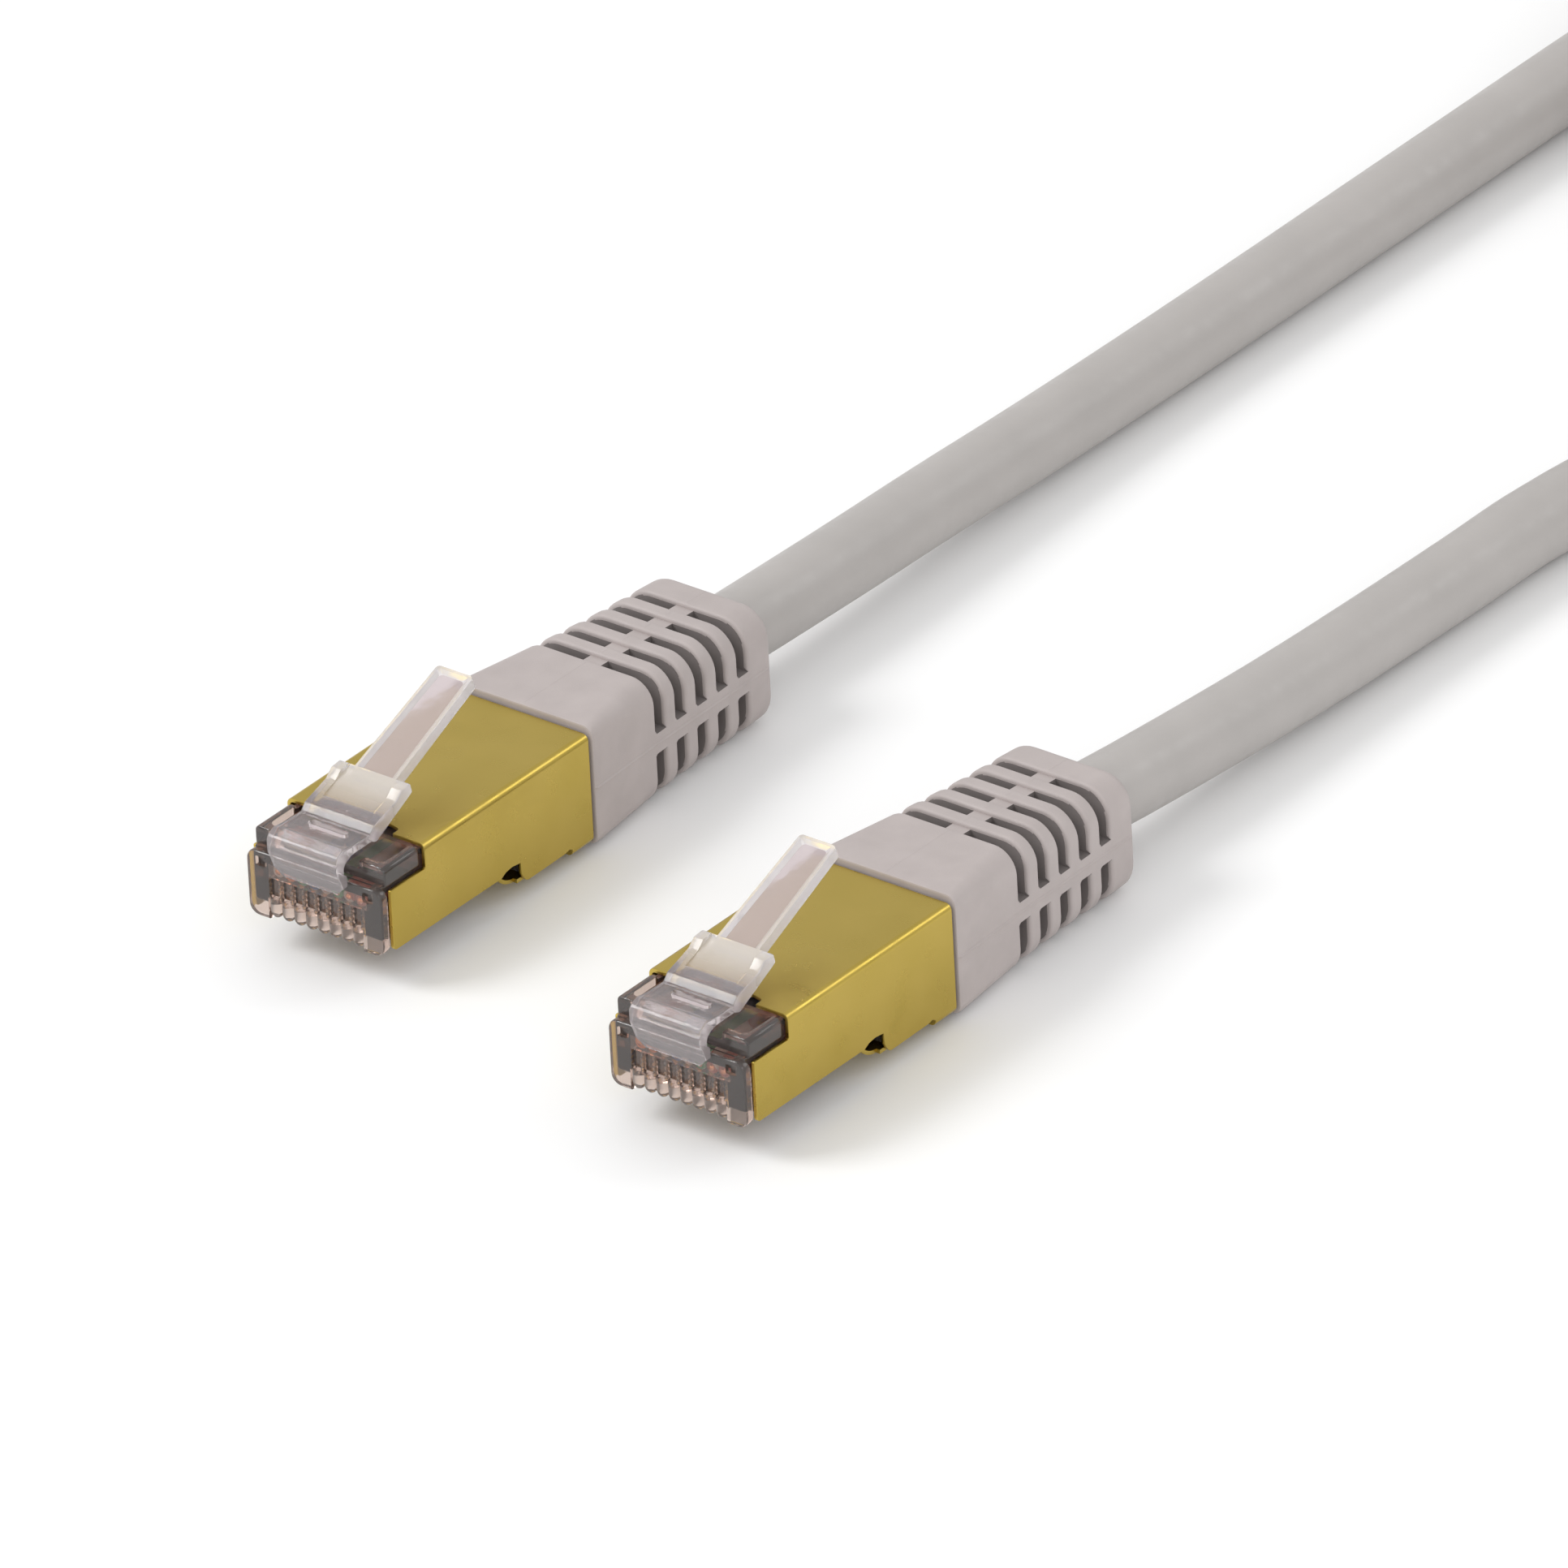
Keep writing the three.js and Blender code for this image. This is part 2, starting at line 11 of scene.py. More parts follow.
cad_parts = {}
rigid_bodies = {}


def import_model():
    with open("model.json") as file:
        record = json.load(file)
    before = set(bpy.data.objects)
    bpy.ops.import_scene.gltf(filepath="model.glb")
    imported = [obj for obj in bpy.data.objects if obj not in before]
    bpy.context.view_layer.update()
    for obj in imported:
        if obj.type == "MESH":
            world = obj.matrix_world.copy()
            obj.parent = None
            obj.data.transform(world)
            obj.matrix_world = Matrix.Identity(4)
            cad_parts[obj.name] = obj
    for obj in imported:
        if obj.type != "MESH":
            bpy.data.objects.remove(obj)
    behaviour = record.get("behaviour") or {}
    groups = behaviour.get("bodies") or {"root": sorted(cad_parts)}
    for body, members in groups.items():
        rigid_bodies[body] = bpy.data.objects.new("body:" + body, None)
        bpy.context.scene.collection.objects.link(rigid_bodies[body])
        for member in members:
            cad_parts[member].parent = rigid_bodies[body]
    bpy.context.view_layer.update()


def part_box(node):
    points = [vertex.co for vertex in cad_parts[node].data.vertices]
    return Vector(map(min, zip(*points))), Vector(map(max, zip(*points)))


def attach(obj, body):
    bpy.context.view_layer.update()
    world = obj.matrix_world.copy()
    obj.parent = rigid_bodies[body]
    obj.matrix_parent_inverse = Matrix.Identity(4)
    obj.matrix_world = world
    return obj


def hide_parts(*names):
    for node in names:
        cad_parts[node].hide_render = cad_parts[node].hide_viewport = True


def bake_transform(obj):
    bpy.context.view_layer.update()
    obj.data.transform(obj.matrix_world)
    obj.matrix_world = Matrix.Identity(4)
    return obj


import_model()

# ---- Sizes ---------------------------------------------------------------------------------
# A plug is drawn in millimetres in its own frame: x across from the middle, y back from the
# front of the nose and z up from the surface. show() carries it into the row's frame.

MM = 0.001
ROOT = "plugs_and_cable"
WAYS = 8
PITCH = 1.016
NOSE_BOTTOM = 2.8
AXIS_HEIGHT = 4.7
SHIELD_REAR = 22.7
BOOT_FRONT = 22.95
BOOT_REAR = 43.9
WIRE_HEIGHT = NOSE_BOTTOM + 3.4
CABLE_DIAMETER = 5.5


def plug_origin(letter):
    low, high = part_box(f"shield_{letter}")
    return Vector(((low.x + high.x) / 2, high.y - SHIELD_REAR * MM, 0))


PLUGS = {letter: plug_origin(letter) for letter in "ab"}


def way_x(way):
    return (way - (WAYS - 1) / 2) * PITCH


# ---- Camera --------------------------------------------------------------------------------

VIEW_AZIMUTH = math.radians(39.457)
VIEW_ELEVATION = math.radians(29.504)
VIEW_ROLL = math.radians(-3.079)
VIEW_DISTANCE = 3.0
VIEW_CENTRE = Vector((0.00209, 0.007784, 0.00775))
SENSOR = 36
LENS = 1016.44


def make_camera():
    azimuth, elevation = VIEW_AZIMUTH, VIEW_ELEVATION
    back = Vector((math.sin(azimuth) * math.cos(elevation),
                   -math.cos(azimuth) * math.cos(elevation), math.sin(elevation)))
    level = Vector((math.cos(azimuth), math.sin(azimuth), 0))
    upright = back.cross(level)
    right = level * math.cos(VIEW_ROLL) + upright * math.sin(VIEW_ROLL)
    above = upright * math.cos(VIEW_ROLL) - level * math.sin(VIEW_ROLL)
    data = bpy.data.cameras.new("camera")
    data.sensor_width, data.lens = SENSOR, LENS
    data.clip_start, data.clip_end = 0.1, 20
    camera = bpy.data.objects.new("camera", data)
    camera.matrix_world = Matrix.Translation(VIEW_CENTRE + back * VIEW_DISTANCE) @ Matrix(
        (right, above, back)).transposed().to_4x4()
    bpy.context.scene.collection.objects.link(camera)
    bpy.context.scene.camera = camera


# ---- Material nodes ------------------------------------------------------------------------

class Look:
    """A Principled material and short calls for the nodes that feed it."""

    def __init__(self, name, colour, roughness, **sockets):
        self.material = bpy.data.materials.new(name)
        self.material.use_nodes = True
        self.tree = self.material.node_tree
        self.shader = self.tree.nodes["Principled BSDF"]
        self.out = self.tree.nodes["Material Output"]
        self.where = self.tree.nodes.new("ShaderNodeTexCoord").outputs["Object"]
        self.set("Base Color", (*colour, 1))
        self.set("Roughness", roughness)
        for socket, value in sockets.items():
            self.set(socket.replace("_", " ").title().replace("Ior", "IOR"), value)

    def set(self, socket, value):
        self.shader.inputs[socket].default_value = value

    def link(self, source, target):
        self.tree.links.new(source, target)

    def node(self, kind, **values):
        made = self.tree.nodes.new("ShaderNode" + kind)
        for key, value in values.items():
            if hasattr(made, key):
                setattr(made, key, value)
            else:
                made.inputs[key.replace("_", " ").title()].default_value = value
        return made

    def noise(self, scale, detail=4.0, stretch=(1, 1, 1)):
        """Noise with about `scale` features in a millimetre."""
        mapping = self.node("Mapping")
        mapping.inputs["Scale"].default_value = [s / MM for s in stretch]
        self.link(self.where, mapping.inputs["Vector"])
        texture = self.node("TexNoise", scale=scale, detail=detail)
        self.link(mapping.outputs["Vector"], texture.inputs["Vector"])
        return texture.outputs["Fac"]

    def ramp(self, value, stops):
        made = self.node("ValToRGB")
        self.link(value, made.inputs["Fac"])
        elements = made.color_ramp.elements
        while len(elements) < len(stops):
            elements.new(0.5)
        for element, (position, colour) in zip(elements, stops):
            element.position = position
            element.color = (*colour, 1) if len(colour) == 3 else colour
        return made.outputs["Color"]

    def colour(self, value, stops):
        self.link(self.ramp(value, stops), self.shader.inputs["Base Color"])

    def vary(self, socket, value, low, high, start=0.35, end=0.65):
        """A socket that runs from low to high as the value goes from start to end."""
        made = self.node("MapRange")
        for key, number in (("From Min", start), ("From Max", end), ("To Min", low), ("To Max", high)):
            made.inputs[key].default_value = number
        self.link(value, made.inputs["Value"])
        self.link(made.outputs["Result"], self.shader.inputs[socket])

    def bump(self, height, depth, strength=1.0):
        """Bump of the given depth in millimetres. Calls in a row add up."""
        made = self.node("Bump")
        made.inputs["Strength"].default_value = strength
        made.inputs["Distance"].default_value = depth * MM
        self.link(height, made.inputs["Height"])
        normal = self.shader.inputs["Normal"]
        if normal.is_linked:
            self.link(normal.links[0].from_socket, made.inputs["Normal"])
        self.link(made.outputs["Normal"], normal)


def absorb(look, colour, density):
    volume = look.tree.nodes.new("ShaderNodeVolumeAbsorption")
    volume.inputs["Color"].default_value = (*colour, 1)
    volume.inputs["Density"].default_value = density
    look.link(volume.outputs["Volume"], look.out.inputs["Volume"])


def smoky_plastic():
    look = Look("smoky_plastic", (0.87, 0.77, 0.725), 0.1, transmission_weight=0.94, ior=1.5)
    absorb(look, (0.6, 0.43, 0.33), 520)
    look.bump(look.noise(0.9, 2), 0.02)
    look.vary("Roughness", look.noise(0.6), 0.05, 0.13)
    return look.material


def clear_plastic(name, tail):
    """A little milky at the root, and whiter there partly with painted highlight, clear in the plate, and
    milky with the given colour in the tail.
    """
    look = Look(name, tail, 0.15, transmission_weight=0.8, ior=1.45)
    split = look.node("SeparateXYZ")
    look.link(look.tree.nodes["Texture Coordinate"].outputs["Generated"], split.inputs["Vector"])
    # The root's whiter colour is partly its milkiness and partly painted highlight along the root bar.
    root, plate = (0.86, 0.8, 0.805), (0.8, 0.73, 0.735)
    look.colour(split.outputs["Y"], [(0.03, root), (0.1, plate), (0.26, plate), (0.4, tail)])
    clarity = look.ramp(split.outputs["Y"], [(0.03, [0.865] * 3), (0.1, [0.93] * 3),
                                             (0.2, [0.93] * 3), (0.44, [0.6] * 3)])
    look.link(clarity, look.shader.inputs["Transmission Weight"])
    look.bump(look.noise(0.8, 2), 0.03)
    look.vary("Roughness", look.noise(0.5), 0.06, 0.16)
    return look.material


def guide_plastic():
    look = Look("guide_plastic", (0.85, 0.83, 0.8), 0.25, transmission_weight=0.55, ior=1.5)
    look.bump(look.noise(1.5, 2), 0.02)
    look.vary("Roughness", look.noise(0.8), 0.2, 0.35)
    return look.material


def gold_sheet():
    look = Look("gold_sheet", (0.52, 0.4, 0.15), 0.3, metallic=1.0)
    look.colour(look.noise(0.25, 6), [(0.3, (0.475, 0.35, 0.07)), (0.7, (0.52, 0.385, 0.088))])
    look.vary("Roughness", look.noise(0.5, 6), 0.26, 0.36)
    look.bump(look.noise(0.3, 2), 0.003)
    look.bump(look.noise(6, 2, (4, 0.4, 4)), 0.002)
    return look.material


def gold_contact():
    look = Look("gold_contact", (0.72, 0.52, 0.2), 0.22, metallic=1.0)
    look.colour(look.noise(1.2, 4), [(0.3, (0.68, 0.47, 0.16)), (0.7, (0.76, 0.57, 0.24))])
    look.vary("Roughness", look.noise(2, 4), 0.16, 0.32)
    look.bump(look.noise(9, 2, (0.5, 3, 3)), 0.002)
    return look.material


def boot_plastic(name, shade):
    look = Look(name, (0.49, 0.44, 0.42), 0.55)
    # A shade under 1 darkens both tones: painted shade.
    tones = [[shade * c for c in tone] for tone in ((0.405, 0.358, 0.347), (0.44, 0.39, 0.378))]
    look.colour(look.noise(0.4), [(0.3, tones[0]), (0.7, tones[1])])
    look.bump(look.noise(0.8, 2), 0.02)
    look.bump(look.noise(9, 3), 0.011)
    look.vary("Roughness", look.noise(0.7), 0.48, 0.62)
    return look.material


def jacket_plastic():
    look = Look("jacket_plastic", (0.43, 0.41, 0.39), 0.42)
    look.colour(look.noise(0.15), [(0.3, (0.39, 0.368, 0.353)), (0.7, (0.42, 0.396, 0.38))])
    look.bump(look.noise(0.5, 2), 0.03)
    look.bump(look.noise(5, 3), 0.003)
    look.vary("Roughness", look.noise(0.8), 0.36, 0.5)
    return look.material


# Insulation colours in the usual order, each pair's white wire first, and the stripe on it.
WHITE = (0.8, 0.78, 0.74)
ORANGE, GREEN, BLUE, BROWN = (0.9, 0.32, 0.1), (0.06, 0.5, 0.2), (0.08, 0.22, 0.65), (0.55, 0.17, 0.12)
WIRES = [
    ("wire_white_orange", WHITE, ORANGE), ("wire_orange", ORANGE, None),
    ("wire_white_green", WHITE, GREEN), ("wire_blue", BLUE, None),
    ("wire_white_blue", WHITE, BLUE), ("wire_green", GREEN, None),
    ("wire_white_brown", WHITE, BROWN), ("wire_brown", BROWN, None),
]


def insulation(name, base, stripe):
    look = Look(name, base, 0.38)
    dark = tuple(0.88 * c for c in base)
    if stripe:
        wave = look.node("TexWave", wave_type="BANDS", bands_direction="DIAGONAL", scale=0.11,
                         distortion=0.4)
        mapping = look.node("Mapping")
        mapping.inputs["Scale"].default_value = [1 / MM] * 3
        look.link(look.where, mapping.inputs["Vector"])
        look.link(mapping.outputs["Vector"], wave.inputs["Vector"])
        look.colour(wave.outputs["Fac"], [(0.72, base), (0.78, stripe)])
    else:
        look.colour(look.noise(1.2), [(0.3, dark), (0.7, base)])
    look.bump(look.noise(4, 2), 0.004)
    look.vary("Roughness", look.noise(2), 0.32, 0.46)
    return look.material


def copper():
    look = Look("copper", (0.83, 0.42, 0.25), 0.28, metallic=1.0)
    look.colour(look.noise(3), [(0.3, (0.74, 0.34, 0.18)), (0.7, (0.88, 0.5, 0.3))])
    look.bump(look.noise(8, 2), 0.004)
    look.vary("Roughness", look.noise(5), 0.22, 0.38)
    return look.material


def foil_wrap():
    look = Look("foil_wrap", (0.78, 0.79, 0.8), 0.25, metallic=1.0)
    look.colour(look.noise(0.8), [(0.3, (0.72, 0.73, 0.75)), (0.7, (0.84, 0.85, 0.86))])
    look.bump(look.noise(1.6, 6), 0.08)
    look.vary("Roughness", look.noise(2), 0.18, 0.34)
    return look.material


def braid_wire():
    look = Look("braid_wire", (0.72, 0.7, 0.66), 0.35, metallic=1.0)
    look.colour(look.noise(3), [(0.3, (0.64, 0.62, 0.58)), (0.7, (0.78, 0.76, 0.72))])
    look.bump(look.noise(9, 2, (1, 0.2, 1)), 0.02)
    look.vary("Roughness", look.noise(4), 0.28, 0.42)
    return look.material


def strap_weave():
    """Hook-and-loop tape: a fine loop pile over a woven backing, with painted shade between the loops."""
    look = Look("strap_weave", (0.03, 0.03, 0.032), 0.85, sheen_weight=0.35)
    fine = look.noise(6, 5)
    # Painted shade: the colour runs dark where the same noise lowers the bump, between the loops.
    look.colour(fine, [(0.35, (0.012, 0.012, 0.013)), (0.68, (0.06, 0.059, 0.058))])
    look.bump(look.noise(3, 4, (1, 2, 2)), 0.12)
    look.bump(fine, 0.06)
    look.vary("Roughness", fine, 0.75, 0.95)
    return look.material


# ---- Floor, lights and background ----------------------------------------------------------

WORLD_STRENGTH = 0.8
FLOOR_DROP = 0.00002              # keeps the floor clear of what lies on it
LIGHTS_AIM = Vector((0, 0.03, 0))
LIGHTS = [                        # name, place, size, watts
    ("key", (-0.5, -0.42, 0.64), 0.36, 3.8),
    ("fill", (0.6, -0.5, 0.4), 0.5, 1.5),
    ("rim", (0.55, 0.75, 0.62), 0.4, 1.1),
]


def make_stage():
    floor_look = Look("floor", (0.9, 0.9, 0.9), 0.6)
    mesh = bpy.data.meshes.new("floor")
    reach = 3.0
    mesh.from_pydata([(-reach, -reach, 0), (reach, -reach, 0), (reach, reach, 0), (-reach, reach, 0)],
                     [], [(0, 1, 2, 3)])
    mesh.materials.append(floor_look.material)
    floor = bpy.data.objects.new("floor", mesh)
    floor.location.z = -FLOOR_DROP
    bpy.context.scene.collection.objects.link(floor)
    world = bpy.data.worlds.new("studio")
    world.use_nodes = True
    background = world.node_tree.nodes["Background"]
    background.inputs["Color"].default_value = (1, 1, 1, 1)
    background.inputs["Strength"].default_value = WORLD_STRENGTH
    bpy.context.scene.world = world
    for name, place, size, power in LIGHTS:
        data = bpy.data.lights.new(name, "AREA")
        data.size, data.energy = size, power
        light = bpy.data.objects.new(name, data)
        light.location = place
        light.rotation_mode = "QUATERNION"
        light.rotation_quaternion = (Vector(place) - LIGHTS_AIM).to_track_quat("Z", "Y")
        bpy.context.scene.collection.objects.link(light)
    bpy.context.scene.view_settings.view_transform = "Standard"


# ---- Mesh helpers --------------------------------------------------------------------------

NEARLY_STRAIGHT = 1.56            # half the angle at a corner, in radians


def rounded(corners, steps=4):
    """Outline of (u, v, radius) corners, each rounded by an arc where its radius isn't zero."""
    outline = []
    for i, (u, v, radius) in enumerate(corners):
        corner = Vector((u, v))
        before = Vector(corners[i - 1][:2]) - corner
        after = Vector(corners[(i + 1) % len(corners)][:2]) - corner
        half = before.angle(after) / 2
        if radius <= 0 or half > NEARLY_STRAIGHT:
            outline.append(tuple(corner))
            continue
        reach = min(radius / math.tan(half), 0.49 * before.length, 0.49 * after.length)
        radius = reach * math.tan(half)
        inwards = (before.normalized() + after.normalized()).normalized()
        middle = corner + inwards * (radius / math.sin(half))
        first = corner + before.normalized() * reach - middle
        last = corner + after.normalized() * reach - middle
        start = math.atan2(first.y, first.x)
        sweep = (math.atan2(last.y, last.x) - start + math.pi) % (2 * math.pi) - math.pi
        for k in range(steps + 1):
            angle = start + sweep * k / steps
            outline.append((middle.x + radius * math.cos(angle), middle.y + radius * math.sin(angle)))
    return outline


def rounded_box(low_u, high_u, low_v, high_v, radius, steps=4):
    return rounded([(low_u, low_v, radius), (high_u, low_v, radius),
                    (high_u, high_v, radius), (low_u, high_v, radius)], steps)


def finish_mesh(name, bm):
    bmesh.ops.remove_doubles(bm, verts=bm.verts, dist=1e-5)
    bmesh.ops.recalc_face_normals(bm, faces=bm.faces)
    mesh = bpy.data.meshes.new(name)
    bm.to_mesh(mesh)
    bm.free()
    return mesh


def skin(rings):
    """A closed body through equal rings of points, with a flat cap at each end."""
    bm = bmesh.new()
    rows = [[bm.verts.new(p) for p in ring] for ring in rings]
    for one, other in zip(rows, rows[1:]):
        for i in range(len(one)):
            j = (i + 1) % len(one)
            bm.faces.new((one[i], one[j], other[j], other[i]))
    bm.faces.new(rows[0])
    bm.faces.new(reversed(rows[-1]))
    return finish_mesh("skin", bm)


# An outline's (u, v) and a station w along an axis, as a place in the plug's frame.
ALONG = {
    "X": lambda u, v, w: (w, u, v),
    "Y": lambda u, v, w: (u, w, v),
    "Z": lambda u, v, w: (u, v, w),
}


def prism(outline, axis, start, end):
    """An outline carried along an axis: (y, z) points along X, (x, z) along Y, (x, y) along Z."""
    return skin([[ALONG[axis](u, v, w) for u, v in outline] for w in (start, end)])


def inset(outline, amount):
    """An outline moved inwards, corner by corner, whichever way round it runs."""
    points = [Vector(p) for p in outline]
    area = sum(a.x * b.y - b.x * a.y for a, b in zip(points, points[1:] + points[:1]))
    moved = []
    for i, point in enumerate(points):
        before = (point - points[i - 1]).normalized()
        after = (points[(i + 1) % len(points)] - point).normalized()
        normals = [Vector((-d.y, d.x)) * math.copysign(1, area) for d in (before, after)]
        middle = (normals[0] + normals[1]).normalized()
        moved.append(tuple(point + middle * amount / max(middle.dot(normals[0]), 0.5)))
    return moved


def bar(outline, axis, start, end, edge, steps=3):
    """A prism whose two ends have rounded edges."""
    turns = [math.pi / 2 * k / steps for k in range(steps + 1)]
    stations = [(start + edge * (1 - math.sin(t)), edge * (1 - math.cos(t))) for t in reversed(turns)]
    stations += [(end - edge * (1 - math.sin(t)), edge * (1 - math.cos(t))) for t in turns]
    return skin([[ALONG[axis](u, v, w) for u, v in inset(outline, depth)] for w, depth in stations])


def box(x0, x1, y0, y1, z0, z1):
    return prism([(x0, y0), (x1, y0), (x1, y1), (x0, y1)], "Z", z0, z1)


def rod(radius, middle, axis, start, end, sides=24):
    turn = [2 * math.pi * i / sides for i in range(sides)]
    return prism([(middle[0] + radius * math.cos(a), middle[1] + radius * math.sin(a)) for a in turn],
                 axis, start, end)


def gather(meshes):
    """One mesh that holds them all."""
    bm = bmesh.new()
    for mesh in meshes:
        bm.from_mesh(mesh)
    whole = bpy.data.meshes.new("gathered")
    bm.to_mesh(whole)
    bm.free()
    return whole


def combined(operation, mesh, others):
    """The mesh after a boolean with each of the others in turn."""
    collection = bpy.context.scene.collection
    holder = bpy.data.objects.new("work", mesh)
    tools = [bpy.data.objects.new("tool", other) for other in others]
    for made in (holder, *tools):
        collection.objects.link(made)
    for tool in tools:
        modifier = holder.modifiers.new("boolean", "BOOLEAN")
        modifier.operation = operation
        modifier.object = tool
        modifier.solver = "EXACT"
    graph = bpy.context.evaluated_depsgraph_get()
    result = bpy.data.meshes.new_from_object(holder.evaluated_get(graph))
    for spare in (holder, *tools):
        bpy.data.objects.remove(spare)
    return result


def joined(mesh, *others):
    return combined("UNION", mesh, others)


def cut(mesh, *others):
    return combined("DIFFERENCE", mesh, others)


def common(mesh, other):
    return combined("INTERSECT", mesh, [other])


def softened(mesh, width, segments=2, angle=35, where=lambda place: True):
    """Every edge sharper than the angle is rounded off, if its middle is where it should be."""
    bm = bmesh.new()
    bm.from_mesh(mesh)
    bmesh.ops.remove_doubles(bm, verts=bm.verts, dist=0.004)
    bmesh.ops.dissolve_limit(bm, angle_limit=math.radians(1), verts=bm.verts, edges=bm.edges)
    sharp = [edge for edge in bm.edges
             if edge.calc_face_angle(0) > math.radians(angle)
             and where((edge.verts[0].co + edge.verts[1].co) / 2)]
    bmesh.ops.bevel(bm, geom=sharp, offset=width, segments=segments, profile=0.5, affect="EDGES",
                    clamp_overlap=False, miter_outer="ARC")
    return finish_mesh("soft", bm)


def smooth_faces(mesh, angle=30):
    """Smooth shading, with creases where faces meet at more than the angle."""
    bm = bmesh.new()
    bm.from_mesh(mesh)
    for face in bm.faces:
        face.smooth = True
    for edge in bm.edges:
        edge.smooth = len(edge.link_faces) == 2 and edge.calc_face_angle(0) < math.radians(angle)
    bm.to_mesh(mesh)
    bm.free()


def show(name, data, letter, look, slot, *nodes, body=ROOT):
    """A piece drawn in a plug's frame becomes an object of that plug, and stands for CAD nodes."""
    piece = bpy.data.objects.new(name, data.copy())
    carry = Matrix.Translation(PLUGS[letter]) @ Matrix.Scale(MM, 4)
    piece.data.transform(carry)
    smooth_faces(piece.data)
    piece.modifiers.new("shading", "WEIGHTED_NORMAL").keep_sharp = True
    for material in look if isinstance(look, tuple) else (look,):
        piece.data.materials.append(material)
    bpy.context.scene.collection.objects.link(piece)
    if body:
        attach(piece, body)
    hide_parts(*nodes)
    return piece


# ---- Nose ----------------------------------------------------------------------------------

NOSE_HALF = 5.45
FLANGE_HALF = 5.85
BROW_HALF = 5.62
HOLLOW_HALF = 4.9                 # of the pocket under the latch, and of the hollow for the cable
RIBS_HALF = 4.1
RECESS_BOTTOM = NOSE_BOTTOM + 1.45
RECESS_TOP = NOSE_BOTTOM + 3.1
BUMP_FRONT = 0.3
BUMP_RADIUS = 0.485
BUMP_HEIGHT = 1.62
DOME_HEIGHT = 0.6
CONTACT_SLOT_HALF = 0.42
BLADE_EDGE = 0.03
WIRE_SLOT_HALF = 4.25
DIMPLE_HALF, DIMPLE_CENTRE = 0.42, 4.62
POCKET_FLOOR = NOSE_BOTTOM + 5.72
PAST = 0.01                       # by which a tool passes a face that it must not share


def up(*heights):
    """Heights above the nose's underside, as heights above the surface."""
    return [NOSE_BOTTOM + h for h in heights]


def bump(x):
    """One rounded rib below the nose's front: a round bar with a domed foot."""
    steps, sides = 6, 24
    tilts = [math.pi / 2 * k / steps for k in range(1, steps + 1)]
    profile = [(BUMP_RADIUS * math.sin(tilt), DOME_HEIGHT * (1 - math.cos(tilt)) + 0.02) for tilt in tilts]
    profile.append((BUMP_RADIUS, BUMP_HEIGHT))
    turn = [2 * math.pi * i / sides for i in range(sides)]
    return skin([[(x + r * math.cos(a), BUMP_FRONT + r * math.sin(a), NOSE_BOTTOM + z) for a in turn]
                 for r, z in profile])


def recess(x):
    """The opening above a rib, with the zig-zag of the contact's barbs moulded into its sides."""
    half, tooth, teeth = 0.44, 0.07, 4
    rise = (RECESS_TOP - RECESS_BOTTOM) / teeth
    right = []
    for k in range(teeth):
        right.append((half, RECESS_BOTTOM + k * rise))
        right.append((half - tooth, RECESS_BOTTOM + (k + 0.6) * rise))
    right.append((half, RECESS_TOP))
    outline = [(x + u, v) for u, v in right] + [(x - u, v) for u, v in reversed(right)]
    return prism(outline, "Y", -1, 0.3)


def nose_mesh():
    """The smoky moulding: the flange and the brow at its front, the block behind, their openings
    and the eight ribs."""
    flange = bar(rounded_box(-FLANGE_HALF, FLANGE_HALF, *up(-0.2, 4.9), 0.85, 8), "Y", 0, 0.75, 0.16)
    brow = bar(rounded([(-BROW_HALF, *up(4.8), 0.2), (BROW_HALF, *up(4.8), 0.2),
                        (BROW_HALF, *up(6.3), 0.4), (-BROW_HALF, *up(6.3), 0.4)], 6), "Y", 0.8, 4.5, 0.16)
    side = [(0.5, 1.2), (0.9, 0.75), (2.2, 0), (15.3, 0), (15.3, -0.9), (21.6, -0.9), (21.6, 6), (4.3, 6),
            (4.3, 5), (0.5, 5)]
    hollow = [(6, 0.7), (15.5, 0.7), (15.5, -0.3), (22, -0.3), (22, 4.7), (6, 4.7)]
    block = bar([(y, NOSE_BOTTOM + z) for y, z in side], "X", -NOSE_HALF, NOSE_HALF, 0.12)
    pocket = rounded_box(-HOLLOW_HALF, HOLLOW_HALF, 1.5, 7.6, 0.5, 5)
    root_gap = rounded([(-3.4, -1, 0), (3.4, -1, 0), (3.4, 1.7, 0.2), (-3.4, 1.7, 0.2)], 4)
    body = cut(
        joined(flange, block, brow),
        prism(pocket, "Z", POCKET_FLOOR, 10),
        prism(root_gap, "Z", POCKET_FLOOR - PAST, 10),
        prism(rounded_box(-RIBS_HALF, RIBS_HALF, -1, BUMP_FRONT, 0.05), "Z", *up(-1, 1.5)),
        box(-RIBS_HALF, RIBS_HALF, -1, 1, *up(-1 - PAST, 0.9)),
        prism([(y, NOSE_BOTTOM + z) for y, z in hollow], "X", -HOLLOW_HALF, HOLLOW_HALF))
    body = softened(body, 0.07, 2, 50, lambda place: place.z > POCKET_FLOOR + 0.1)
    ways = [way_x(way) for way in range(WAYS)]
    slots = [box(x - CONTACT_SLOT_HALF, x + CONTACT_SLOT_HALF, 0.75, 5.7, *up(-1, 3)) for x in ways]
    dimples = [prism(rounded_box(x - DIMPLE_HALF, x + DIMPLE_HALF, *up(3.75, 4.5), 0.12), "Y", -1, 0.32)
               for x in (-DIMPLE_CENTRE, DIMPLE_CENTRE)]
    body = cut(
        body,
        box(-WIRE_SLOT_HALF, WIRE_SLOT_HALF, 0.7, 6.4, WIRE_HEIGHT - 0.52, WIRE_HEIGHT + 0.5),
        gather([recess(x) for x in ways]),
        gather(slots),
        gather(dimples))
    return joined(body, gather([bump(x) for x in ways]))


# ---- Latch ---------------------------------------------------------------------------------

